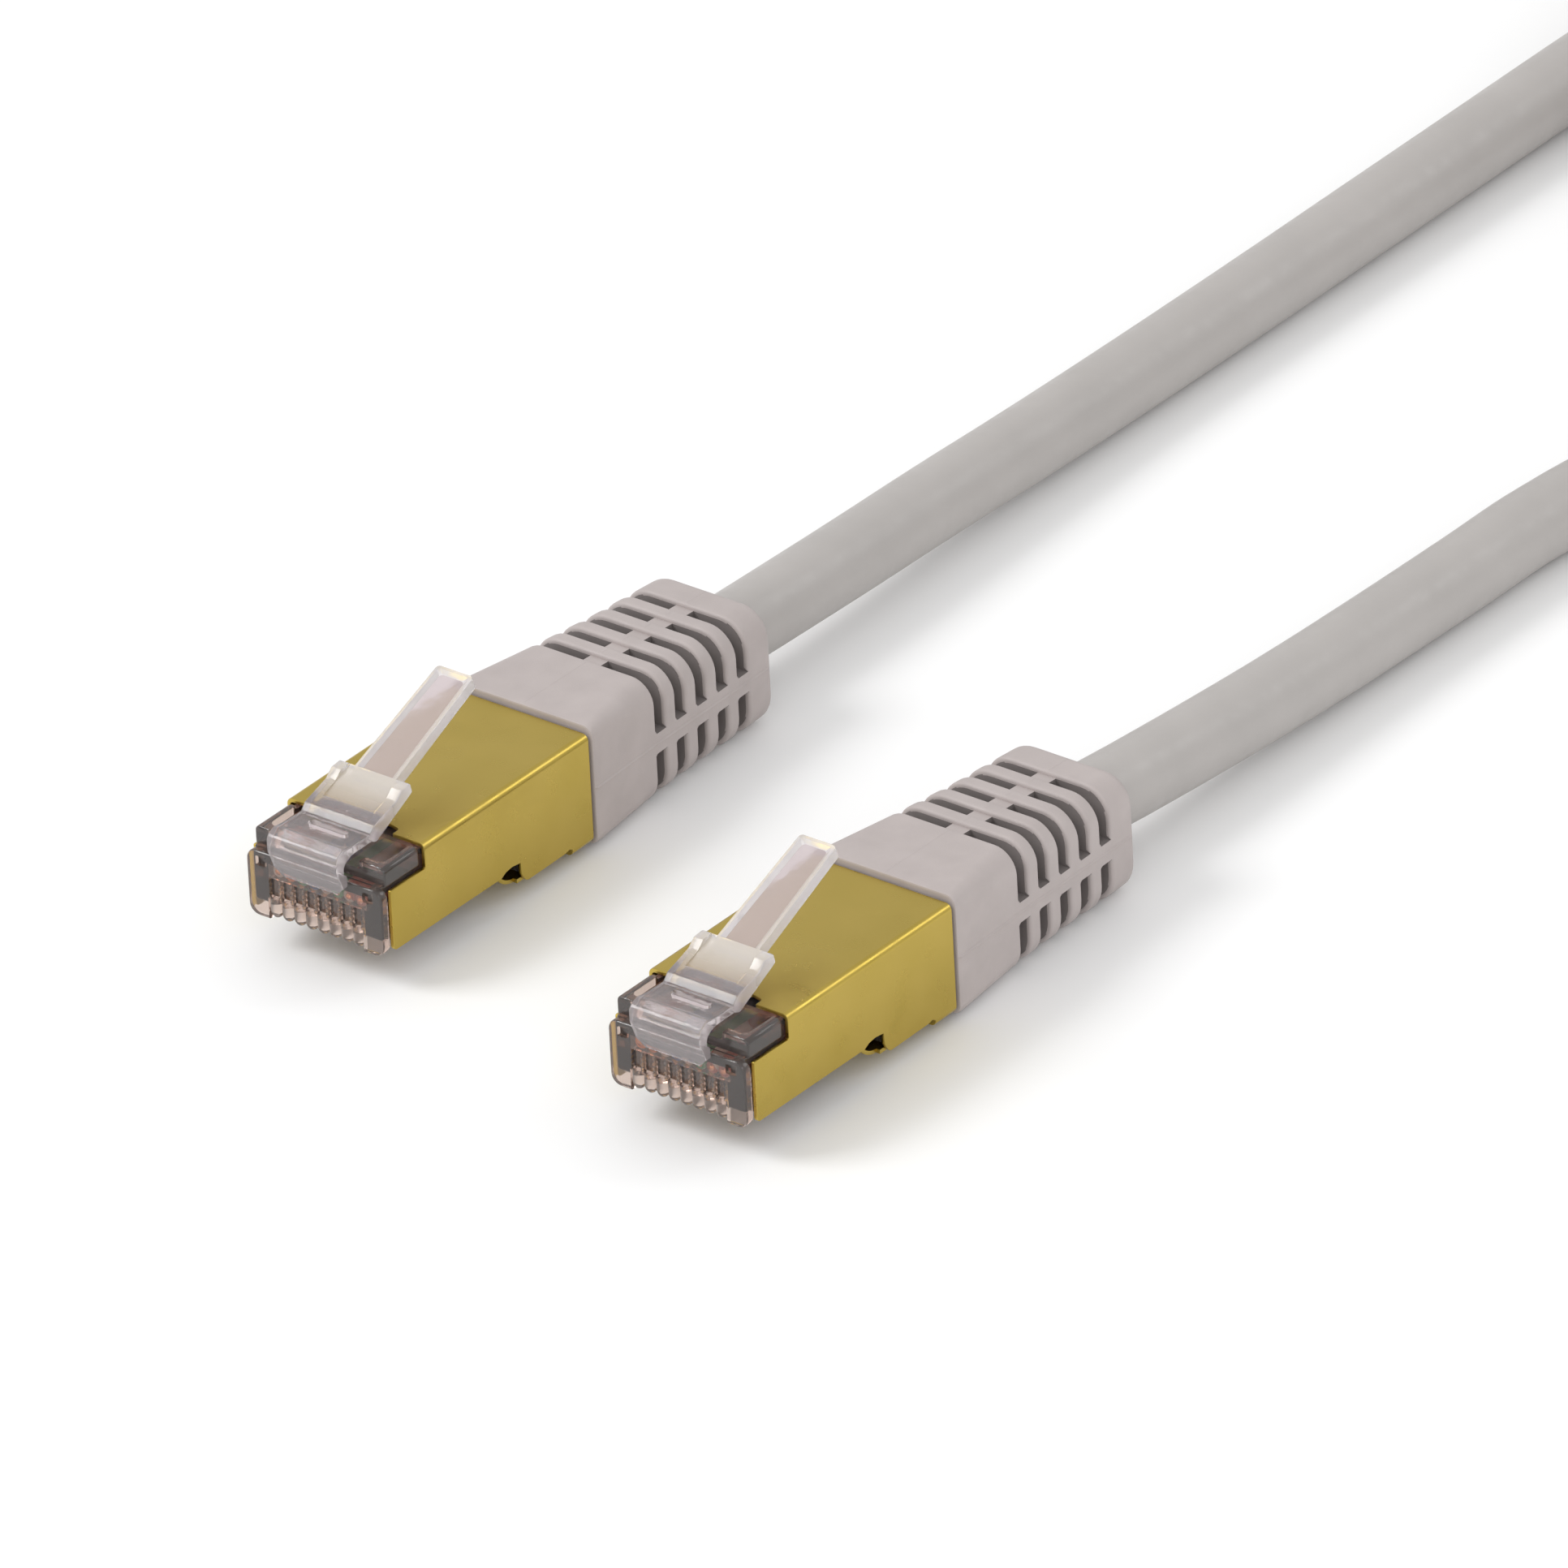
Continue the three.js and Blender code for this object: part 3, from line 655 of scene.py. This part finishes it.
LATCH_HALF = 3.05
TAIL_SLOPE = math.radians(21.7)
TAIL_START = (6.8, NOSE_BOTTOM + 8.0)
TAIL_LENGTH = 10.5
TAIL_BASE_HALF, TAIL_TIP_HALF = 1.8, 1.55
TAIL_THICKNESS = 0.9
RIM = 0.42
RECESS_HEIGHT = 0.66              # of the tail's sunken floor
TAIL_PLACE = Matrix.Translation((0, *TAIL_START)) @ Matrix.Rotation(TAIL_SLOPE, 4, "X")


def tail_outline(margin, start, end):
    def half(y):
        return TAIL_BASE_HALF + (TAIL_TIP_HALF - TAIL_BASE_HALF) * y / TAIL_LENGTH - margin
    return rounded([(-half(start), start, 0.2), (half(start), start, 0.2),
                    (half(end), end, 0.3), (-half(end), end, 0.3)], 5)


def latch_mesh():
    """The clear moulding: a tongue on the nose's face, the root at which the real latch flexes, plate, ears
    and tail.
    """
    side = rounded([(y, NOSE_BOTTOM + z, r) for y, z, r in (
        (-0.02, 3.85, 0.17), (-0.4, 3.85, 0.17), (-0.62, 4.7, 1), (-1.13, 6.0, 0.9), (-1.13, 7.1, 0.6),
        (-0.3, 7.55, 0.6), (0.9, 7.38, 0.5), (2.65, 7.32, 0.25), (3.15, 7.85, 0.3), (5.5, 8.55, 0.4),
        (6.15, 9.13, 0.2), (7.15, 9.22, 0.25), (7.35, 8.45, 0.2), (6.8, 8.15, 0.2), (3.2, 6.47, 0.3),
        (2.75, 6.74, 0.3), (0.5, 6.7, 0.4), (-0.3, 6.3, 0.5), (-0.34, 5.6, 0.15), (-0.02, 5.4, 0.16))], 5)
    strip = bar(side, "X", -LATCH_HALF, LATCH_HALF, 0.13)
    tail = bar(tail_outline(0, 0, TAIL_LENGTH), "Z", 0, TAIL_THICKNESS, 0.02)
    recess_rings = [(RIM + 0.1, RECESS_HEIGHT), (RIM - 0.2, TAIL_THICKNESS), (RIM - 0.2, 2)]
    tail = cut(tail, skin([[(x, y, z) for x, y in tail_outline(rim, rim, TAIL_LENGTH - rim)]
                           for rim, z in recess_rings]))
    tail = softened(tail, 0.12, 3, 50)
    tail.transform(TAIL_PLACE)
    # Nothing of the strip stays in the space above the tail.
    gap = box(-2.2, 2.2, -2.5, 3, TAIL_THICKNESS + 0.02, 3)
    gap.transform(TAIL_PLACE)
    body = joined(cut(strip, gap), tail)
    out, low, corner = 3.2, NOSE_BOTTOM + 3.5, 1.3
    trims = [prism([(side * out, low), (side * (out - corner), low), (side * out, low + corner)],
                   "Y", -2, 0.5) for side in (-1, 1)]
    window = prism(rounded_box(-1.65, 1.65, 1.55, 2.2, 0.28, 5), "Z", *up(6, 8.5))
    body = cut(body, window, *trims)
    # The sunken floor takes the second material, a darker copy of the clear plastic: painted shade in the
    # recess.
    into_tail = TAIL_PLACE.inverted()
    for face in body.polygons:
        place = into_tail @ face.center
        face.material_index = int(place.y > 0 and abs(place.z - RECESS_HEIGHT) < 0.02)
    return body


# ---- Shield --------------------------------------------------------------------------------

SHIELD_HALF = 5.95
SHEET = 0.3


def shield_mesh():
    """Sheet folded round the body, with a stepped front edge and a notch behind the latch's root,
    and the ramp and the floor that close it from below."""
    outer = prism(rounded_box(-SHIELD_HALF, SHIELD_HALF, *up(-1.95, 6.5), 0.5, 8), "Y", 0.5, SHIELD_REAR)
    inside = SHIELD_HALF - SHEET
    inner = prism(rounded_box(-inside, inside, *up(-1.95 + SHEET, 6.2), 0.22, 6), "Y", 0, SHIELD_REAR + 1)
    profile = rounded([(y, NOSE_BOTTOM + z, r) for y, z, r in (
        (4.75, 6.8, 0), (SHIELD_REAR, 6.8, 0), (SHIELD_REAR, -2.2, 0), (20.4, -2.2, 0), (20.4, -1.45, 0.15),
        (20.1, -1.25, 0.1), (19.5, -1.35, 0.1), (15.35, -1.41, 0.5), (14.86, -0.7, 0.6), (14.8, 0.24, 0.05),
        (13.9, 0.36, 0.5), (13.2, 0.26, 0.4), (12.7, 0.0, 0.05), (0.95, 0.0, 0.35), (0.95, 4.65, 0.1),
        (4.75, 4.65, 0.12))], 5)
    channel = common(cut(outer, inner), prism(profile, "X", -7, 7))
    notch = prism(rounded([(-3.2, 4, 0), (3.2, 4, 0), (3.2, 5.5, 0.35), (2.2, 5.75, 0.2), (-2.2, 5.75, 0.2),
                           (-3.2, 5.5, 0.35)], 5), "Z", *up(6, 7))
    channel = softened(cut(channel, notch), 0.05, 2, 40)
    bend = [math.pi / 2 * k / 10 for k in range(11)]
    middle_y, middle_z = 14.85, NOSE_BOTTOM + 0.3
    ramp = [(middle_y - along * math.cos(a), middle_z - down * math.sin(a))
            for along, down, turns in ((2.05, 1.7, bend), (1.75, 1.4, bend[::-1])) for a in turns]
    floor = prism([(14.7, *up(-1.4)), (20.6, *up(-1.38)), (20.6, *up(-1.1)), (14.7, *up(-1.1))],
                  "X", -5.6, 5.6)
    return gather([channel, softened(prism(ramp, "X", -5.3, 5.3), 0.04, 2, 60), floor])


# ---- Boot ----------------------------------------------------------------------------------

SLOTS = 5
SLOT_FIRST = 30.95
SLOT_PITCH = 2.35
SLOT_WIDTH = 1.12
SLOT_DEPTH = 1.25
GROOVE_DEPTH = 0.34               # of the upper and lower bridges, which lie lower than the rings
RING_EDGE = 0.27
BRIDGE_HALF = 0.76
CABLE_BORE = CABLE_DIAMETER / 2 + 0.12
CRIMP_BORE, CRIMP_BORE_END = 3.95, 27.3
REAR_EDGE = 0.9
SLOT_SHADE_DEPTH = 0.5                  # from which a slot's faces take the darker material: painted shade deep in the slot
SLOT_INSIDE = 0.02                # by which a slot's tool stays inside its groove
PARTING_FRONT, PARTING_FALL = 5.0, 0.45
BAND_HALF = BRIDGE_HALF + 0.03    # of the side bridges, which are flush with the rings
BAND_FALL = 0.2
BOOT_SECTIONS = [                 # y, half width, top, bottom, corner radius
    (BOOT_FRONT, 6.12, 9.75, 0.45, 0.8),
    (30.5, 5.6, 9.65, 0.15, 1.9),
    (40.6, 5.3, 9.1, 0.0, 2.5),
    (BOOT_REAR, 5.17, 8.9, 0.03, 2.6),
]


def boot_section(y):
    """Half width, top, bottom and corner radius at y, with the changes of slope rounded off."""
    reach, spacing = 4, 0.35
    values = []
    for index in range(1, 5):
        total = weight_sum = 0
        for step in range(-reach, reach + 1):
            place = min(max(y + step * spacing, BOOT_FRONT), BOOT_REAR)
            after = next(i for i in range(1, len(BOOT_SECTIONS)) if BOOT_SECTIONS[i][0] >= place)
            one, other = BOOT_SECTIONS[after - 1], BOOT_SECTIONS[after]
            share = (place - one[0]) / (other[0] - one[0])
            weight = reach + 1 - abs(step)
            total += weight * (one[index] + (other[index] - one[index]) * share)
            weight_sum += weight
        values.append(total / weight_sum)
    return values


def parting_height(y):
    return PARTING_FRONT - PARTING_FALL * (y - BOOT_FRONT) / (BOOT_REAR - BOOT_FRONT)


def boot_ring(y, depth, side_depth):
    """One ring of the boot's skin, the given depths under its surface all round and at the side
    bridges, with the parting line's fine ridge on both sides and on top."""
    half, top, bottom, radius = boot_section(y)
    middle = parting_height(y)
    side = half - side_depth
    half, top, bottom, radius = half - depth, top - depth, bottom + depth, radius - depth * 0.8
    line = 0.1
    ridge = 0.04 if depth < 0.05 else 0
    side_ridge = 0.1 if side_depth < 0.05 else 0
    quarter = rounded([(half, middle, 0), (half, top, radius), (0, top, 0), (0, middle, 0)], 9)
    arc_up = quarter[1:-2]
    quarter = rounded([(half, bottom, radius), (half, middle, 0), (0, middle, 0), (0, bottom, 0)], 9)
    arc_down = quarter[:-3]
    band = [(half, middle - BAND_HALF - BAND_FALL), (side, middle - BAND_HALF), (side, middle - line),
            (side + side_ridge, middle), (side, middle + line), (side, middle + BAND_HALF),
            (half, middle + BAND_HALF + BAND_FALL)]
    right = [*arc_down, *band, *arc_up, (line, top), (0, top + ridge)]
    left = [(-x, z) for x, z in reversed(right[:-1])]
    return [(x, y, z) for x, z in right + left]


def slot_places():
    return [SLOT_FIRST + slot * SLOT_PITCH for slot in range(SLOTS)]


def slot_tools():
    """Four slots at each place, one round each corner, with the bridges left between them."""
    tools = []
    reach = SLOT_WIDTH / 2 - SLOT_INSIDE
    outside, above, below = 9, 12, -3
    for y in slot_places():
        half, top, bottom, radius = boot_section(y)
        floor_x = half - SLOT_DEPTH
        corners = ((top - SLOT_DEPTH, 1, above), (bottom + SLOT_DEPTH, -1, below))
        for side, (floor_z, sign, far) in itertools.product((1, -1), corners):
            end_z = parting_height(y) + sign * BRIDGE_HALF
            outline = rounded([(BRIDGE_HALF, far, 0), (BRIDGE_HALF, floor_z, 0),
                               (floor_x, floor_z, radius - 0.5), (floor_x, end_z, 0),
                               (outside, end_z, 0), (outside, far, 0)], 6)
            tools.append(prism([(side * x, z) for x, z in outline], "Y", y - reach, y + reach))
    return tools


def boot_stations():
    """Where the skin's rings stand: (y, depth all round, depth at the side bridges)."""
    stations = [(BOOT_FRONT, 0.22, 0.22), (BOOT_FRONT + 0.06, 0.08, 0.08), (BOOT_FRONT + 0.22, 0, 0)]
    stations += [(BOOT_FRONT + 0.8 + 0.5 * k, 0, 0) for k in range(13)]
    turns = [math.pi / 2 * k / 4 for k in range(5)]
    fall = [(SLOT_WIDTH / 2 + RING_EDGE * (1 - math.sin(t)), RING_EDGE * (1 - math.cos(t))) for t in turns]
    fall.append((SLOT_WIDTH / 2, GROOVE_DEPTH))
    for middle in slot_places():
        stations += [(middle - away, depth, 0) for away, depth in fall]
        stations += [(middle + away, depth, 0) for away, depth in reversed(fall)]
    steps = 7
    for k in range(steps + 1):
        turn = math.pi / 2 * k / steps
        depth = REAR_EDGE * (1 - math.cos(turn))
        stations.append((BOOT_REAR - REAR_EDGE + REAR_EDGE * math.sin(turn), depth, depth))
    return stations


def boot_mesh():
    """A skin with a groove at each row of slots, then the bores and the slots cut from it. The
    slots' deep faces take the second material, the same plastic darkened with painted shade."""
    axis = (0, AXIS_HEIGHT)
    body = skin([boot_ring(*station) for station in boot_stations()])
    body = cut(body, rod(CABLE_BORE, axis, "Y", 20, 46, 40),
               rod(CRIMP_BORE, axis, "Y", 20, CRIMP_BORE_END, 40))
    body = cut(body, *slot_tools())
    # Painted shade: faces deep inside a slot take the darker copy of the boot plastic.
    for face in body.polygons:
        x, y, z = face.center
        half, top, bottom, _ = boot_section(y)
        deep = abs(x) < half - SLOT_SHADE_DEPTH and bottom + SLOT_SHADE_DEPTH < z < top - SLOT_SHADE_DEPTH
        in_slot = min(abs(y - place) for place in slot_places()) < SLOT_WIDTH / 2 + 0.001
        face.material_index = int(deep and in_slot)
    return body


# ---- Inside the plug -----------------------------------------------------------------------

def tube(path, radius, sides=16, steps=5):
    """A round rod along a smooth curve through the path's points, with its two ends eased."""
    edge = 0.06
    points = [Vector(p) for p in path]
    points = [2 * points[0] - points[1], *points, 2 * points[-1] - points[-2]]
    line = []
    for one, two, three, four in zip(points, points[1:], points[2:], points[3:]):
        for k in range(steps):
            t = k / steps
            line.append(0.5 * (2 * two + (three - one) * t + (2 * one - 5 * two + 4 * three - four) * t ** 2
                               + (3 * two - one - 3 * three + four) * t ** 3))
    line.append(points[-2])
    ends = (line[1] - line[0]).normalized() * edge, (line[-1] - line[-2]).normalized() * edge
    line = [line[0], line[0] + ends[0], *line[1:-1], line[-1] - ends[1], line[-1]]
    rings = []
    for i, place in enumerate(line):
        along = (line[min(i + 1, len(line) - 1)] - line[max(i - 1, 0)]).normalized()
        side = along.cross(Vector((0, 0, 1))).normalized()
        size = radius - (edge if i in (0, len(line) - 1) else 0)
        rings.append([place + (side * math.cos(a) + side.cross(along) * math.sin(a)) * size
                      for a in [2 * math.pi * k / sides for k in range(sides)]])
    return skin(rings)


def conductor_mesh(way):
    """Insulation, and the copper that shows at its two cut ends. From their flat row in the nose
    the conductors draw together into two rows of four at the cable's core."""
    insulation_radius, copper_radius = 0.48, 0.24
    rise = 0.55 if way % 2 == 0 else -0.55
    column = way // 2 - 1.5
    x, height = way_x(way), AXIS_HEIGHT + rise
    insulated = tube([
        (x, 0.9, WIRE_HEIGHT), (x, 5, WIRE_HEIGHT), (x, 10.2, WIRE_HEIGHT),
        (x, 12.6, WIRE_HEIGHT - 0.3 + rise),
        ((x + column) / 2, 15, (WIRE_HEIGHT + AXIS_HEIGHT) / 2 - 0.2 + rise),
        (column, 17.6, height), (column, 19.6, height)], insulation_radius)
    ends = gather([tube([(x, 0.83, WIRE_HEIGHT), (x, 1.0, WIRE_HEIGHT)], copper_radius),
                   tube([(column, 19.5, height), (column, 19.68, height)], copper_radius)])
    for face in ends.polygons:
        face.material_index = 1
    return gather([insulated, ends])


def strand_rings(turns, phase, start, end, radius, thickness, wave, count):
    """Rings of one flat strand that winds round the cable's axis and weaves in and out."""
    steps, flatness = 26, 2.6
    rings = []
    for k in range(steps + 1):
        share = k / steps
        angle = phase + turns * 2 * math.pi * share
        out = radius + wave * math.cos(count * (angle + phase))
        middle = Vector((out * math.cos(angle), start + (end - start) * share,
                         out * math.sin(angle) + AXIS_HEIGHT))
        radial = Vector((math.cos(angle), 0, math.sin(angle)))
        around = Vector((-math.sin(angle), 0, math.cos(angle))) * (1 if turns > 0 else -1)
        along = (around * abs(turns) * 2 * math.pi * radius + Vector((0, end - start, 0))).normalized()
        across = along.cross(radial)
        rings.append([middle + radial * thickness * math.sin(a)
                      + across * thickness * flatness * math.cos(a)
                      for a in [2 * math.pi * i / 8 for i in range(8)]])
    return rings


def braid_mesh():
    """The braid, folded back over the jacket: twelve strands each way, over one and under one."""
    count, start, end, radius, thickness = 12, 22.3, 26.3, 3.1, 0.055
    turns, wave = 0.33, 0.05
    strands = []
    for i in range(count):
        phase = 2 * math.pi * i / count
        for hand in (1, -1):
            strands.append(skin(strand_rings(hand * turns, phase, start, end, radius, thickness,
                                             hand * wave, count)))
    return gather(strands)


def crimp_mesh():
    """A split ring with rolled edges and three crimped dents."""
    sides, start, end = 72, 23.1, 26.8
    inner, outer = 3.36, 3.64
    profile = rounded_box(start, end, inner, outer, 0.12, 3)
    gap = math.radians(8)
    rings = []
    for i in range(sides + 1):
        angle = gap / 2 + (2 * math.pi - gap) * i / sides - math.pi / 2
        dent = 0.1 * max(0, math.cos(3 * (angle + math.pi / 2))) ** 6
        rings.append([((r - dent) * math.cos(angle), y, (r - dent) * math.sin(angle) + AXIS_HEIGHT)
                      for y, r in profile])
    return skin(rings)


def foil_mesh():
    """The cable's core in its foil: twisted pairs show as four soft lobes under the wrap."""
    start, length, steps, sides = 19.9, 1.7, 12, 48
    rings = []
    for k in range(steps + 1):
        y = start + length * k / steps
        ring = []
        for i in range(sides):
            angle = 2 * math.pi * i / sides
            lobes = 0.1 * math.cos(4 * (angle - 0.35 * (y - start)))
            lap = 0.05 if (angle / (2 * math.pi) - (y - start) / 1.1) % 1 < 0.12 else 0
            radius = 1.97 + lobes + lap - (0.12 if k in (0, steps) else 0)
            ring.append((radius * math.cos(angle), y, radius * math.sin(angle) + AXIS_HEIGHT))
        rings.append(ring)
    return skin(rings)


def guide_mesh():
    """The block that the conductors lie on, with one round groove for each."""
    half, bottom, groove, ridge = 4.55, NOSE_BOTTOM + 1, WIRE_HEIGHT - 0.64, WIRE_HEIGHT - 0.25
    outline = [(-half, bottom), (-half, ridge)]
    for way in range(WAYS):
        x = way_x(way)
        outline += [(x + 0.49 * math.cos(a), max(WIRE_HEIGHT - 0.1 + 0.55 * math.sin(a), groove))
                    for a in [math.pi + 0.25 + (math.pi - 0.5) * k / 8 for k in range(9)]]
    outline += [(half, ridge), (half, bottom)]
    return softened(prism(outline, "Y", 6.3, 10.2), 0.05, 2, 50)


# ---- Cable ---------------------------------------------------------------------------------

COIL_RADIUS = 31
COIL_TURN = 5.6
COIL_CENTRE = (32.4, 172)         # from plug a's nose
COIL_TURNS = 3.5
LOW = 2.76                        # of the lower layer's axis
POINTS_PER_TURN = 32
ROLL_START, ROLL_LENGTH = 0.29, 0.19      # in parts of a turn
STRAP_RISE, STRAP_FALL = (0.1, 0.11), (ROLL_START, 0.12)    # start and length, in parts of a turn
SETTLE_DOWN, SETTLE_UP = 2.538, 2.8       # where the last turns go under, and come back
SETTLE_LENGTH = 0.162
STRAP_WIDTH, STRAP_THICKNESS, STRAP_LIFT = 9.0, 0.9, 1.05
INSIDE_BOOT = 22.0                # of cable at each end

# From each boot to the coil, measured from its own plug's origin.
LEAD_A = [
    (0, 44.2, 4.7), (0, 50, 4.55), (-0.1, 59, 4.25), (-0.45, 69, 3.8), (-0.75, 80, 3.25), (-1, 92, 2.88),
    (-1.1, 105, 2.77), (-1.2, 118, 2.77), (-1.3, 131, 2.77), (-1.4, 142, 2.77), (-1.4, 151.2, 2.77),
]
LEAD_B = [
    (0, 44.2, 4.7), (0.15, 50, 4.35), (0.25, 58, 3.85), (0.25, 67, 3.35), (0.15, 77, 2.98), (0.1, 87, 2.8),
    (0.15, 95.5, 2.77), (1.2, 103.7, 2.77), (4.2, 111.9, 2.77), (9.2, 119.1, 2.77), (15.7, 125, 2.77),
    (22.2, 130.9, 2.77), (27.2, 138.1, 2.77), (30.3, 146.3, 2.77), (31.3, 155.6, 2.77),
]


def ease(t):
    t = min(max(t, 0), 1)
    return t * t * (3 - 2 * t)


def coil_points():
    """Clockwise turns, two by two in section. Just past the strap the whole bundle rolls over by one
    place, so that each pass comes out beside the one before and the last comes out at the bottom."""
    count = int(COIL_TURNS * POINTS_PER_TURN)
    across = COIL_TURN / math.sqrt(2)
    points = []
    for i in range(count + 1):
        turn = COIL_TURNS * i / count
        roll = [ease((turn - lap - ROLL_START) / ROLL_LENGTH) for lap in range(4)]
        place = -math.pi / 4 - math.pi / 2 * sum(roll)
        part = math.pi / 2 * ease((turn % 1 - ROLL_START) / ROLL_LENGTH)
        middle = LOW + across * math.cos(math.pi / 4 - part)
        rise, fall = [ease((turn % 1 - at) / length) for at, length in (STRAP_RISE, STRAP_FALL)]
        under_strap = rise - fall
        settle = ease((turn - SETTLE_DOWN) / SETTLE_LENGTH) - ease((turn - SETTLE_UP) / SETTLE_LENGTH)
        radius = COIL_RADIUS + across * math.cos(place)
        height = middle + across * math.sin(place) + STRAP_LIFT * under_strap - COIL_TURN * settle
        angle = math.pi - turn * 2 * math.pi
        points.append(PLUGS["a"] + Vector((COIL_CENTRE[0] + radius * math.cos(angle),
                                           COIL_CENTRE[1] + radius * math.sin(angle), height)) * MM)
    return points


def strap_mesh():
    """A hook-and-loop strap, once round the bundle and then over its own start. Each knot is a
    place round one of the bundle's four corners."""
    corner_knots = 9
    knots = []
    for _ in range(2):
        for corner, (u, v) in enumerate(((-1, 1), (1, 1), (1, -1), (-1, -1))):
            for k in range(corner_knots):
                angle = math.pi - math.pi / 2 * (corner + k / (corner_knots - 1))
                knots.append((u, v, angle))
    lap_knots, used_knots, climb_knots = 4 * corner_knots, 56, 7
    clearance, step = 0.08, COIL_TURN / 2
    middle = LOW + step + STRAP_LIFT
    rings = []
    for i, (u, v, angle) in enumerate(knots[:used_knots]):
        climb = 1.04 * ease((i - lap_knots + climb_knots) / climb_knots)
        out = CABLE_DIAMETER / 2 + clearance + STRAP_THICKNESS * (0.5 + climb)
        normal = Vector((0, math.cos(angle), math.sin(angle)))
        centre = Vector((0, COIL_RADIUS + u * step, middle + v * step)) + normal * out
        half = STRAP_WIDTH / 2 - (0.5 if i in (0, used_knots - 1) else 0)
        section = rounded_box(-half, half, -STRAP_THICKNESS / 2, STRAP_THICKNESS / 2, 0.3, 3)
        rings.append([centre + Vector((a, 0, 0)) + normal * b for a, b in section])
    mesh = skin(rings)
    mesh.transform(Matrix.Translation((*COIL_CENTRE, 0)))
    return mesh


def route():
    start = PLUGS["a"] + Vector((0, BOOT_REAR - INSIDE_BOOT, AXIS_HEIGHT)) * MM
    end = PLUGS["b"] + Vector((0, BOOT_REAR - INSIDE_BOOT, AXIS_HEIGHT)) * MM
    there = [PLUGS["a"] + Vector(p) * MM for p in LEAD_A]
    back = [PLUGS["b"] + Vector(p) * MM for p in reversed(LEAD_B)]
    return [start, *there, *coil_points(), *back, end]


def make_cable():
    data = bpy.data.curves.new("cable", "CURVE")
    data.dimensions = "3D"
    data.bevel_depth = CABLE_DIAMETER / 2 * MM
    data.bevel_resolution = 10
    data.use_fill_caps = True
    data.resolution_u = 8
    points = route()
    spline = data.splines.new("BEZIER")
    spline.bezier_points.add(len(points) - 1)
    for knot, place in zip(spline.bezier_points, points):
        knot.co = place
        knot.handle_left_type = knot.handle_right_type = "AUTO"
    cable = bpy.data.objects.new("cable", data)
    bpy.context.scene.collection.objects.link(cable)
    data.materials.append(jacket_plastic())
    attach(cable, ROOT)
    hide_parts("lead_a", "lead_b", "coil", "jacket_end_a", "jacket_end_b")
    show("strap", strap_mesh(), "a", strap_weave(), "tie_strap", "coil_tie")


def make_plugs():
    """Both plugs are the same: each shape is made once and shown twice."""
    smoky, gold, blades = smoky_plastic(), gold_sheet(), gold_contact()
    # The tail's whiter colour is partly painted highlight on its rims; the recess copy is darker: painted
    # shade in the sunken floor.
    clear = (clear_plastic("clear_plastic", (0.9, 0.87, 0.875)),
             clear_plastic("clear_recess_painted_shade", (0.66, 0.57, 0.585)))
    # The second boot material is the same plastic darkened: painted shade for the slots' deep faces.
    boot = (boot_plastic("boot_plastic", 1), boot_plastic("boot_slot_painted_shade", 0.46))
    guide, metal = guide_plastic(), copper()
    foil, wires = foil_wrap(), braid_wire()
    strands = [insulation(*wire) for wire in WIRES]
    shapes = {
        "housing": (nose_mesh(), smoky, "smoky_nose"),
        "shield": (shield_mesh(), gold, "gold_shield"),
        "boot": (boot_mesh(), boot, "grey_boot"),
        "wire_guide": (guide_mesh(), guide, "clear_guide"),
        "cable_core": (foil_mesh(), foil, "foil"),
        "braid": (braid_mesh(), wires, "braid"),
        "crimp_ring": (crimp_mesh(), gold, "gold_shield"),
    }
    latch = latch_mesh()
    for letter, origin in PLUGS.items():
        for kind, (data, look, slot) in shapes.items():
            show(f"{kind}_shape_{letter}", data, letter, look, slot, f"{kind}_{letter}")
        for way, (slot, _, _) in enumerate(WIRES):
            show(f"conductor_shape_{letter}{way + 1}", conductor_mesh(way), letter,
                 (strands[way], metal), slot, f"conductor_{letter}{way + 1}")
            contact = bpy.data.objects[f"contact_{letter}{way + 1}"]
            for place in contact.material_slots:
                place.material = blades
            edge = contact.modifiers.new("edge", "BEVEL")
            edge.width, edge.segments = BLADE_EDGE * MM, 2
        flap = show(f"latch_shape_{letter}", latch, letter, clear, "clear_latch", f"latch_{letter}",
                    body=None)
        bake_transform(flap)


make_camera()
make_cable()
make_plugs()
make_stage()

bpy.context.view_layer.update()
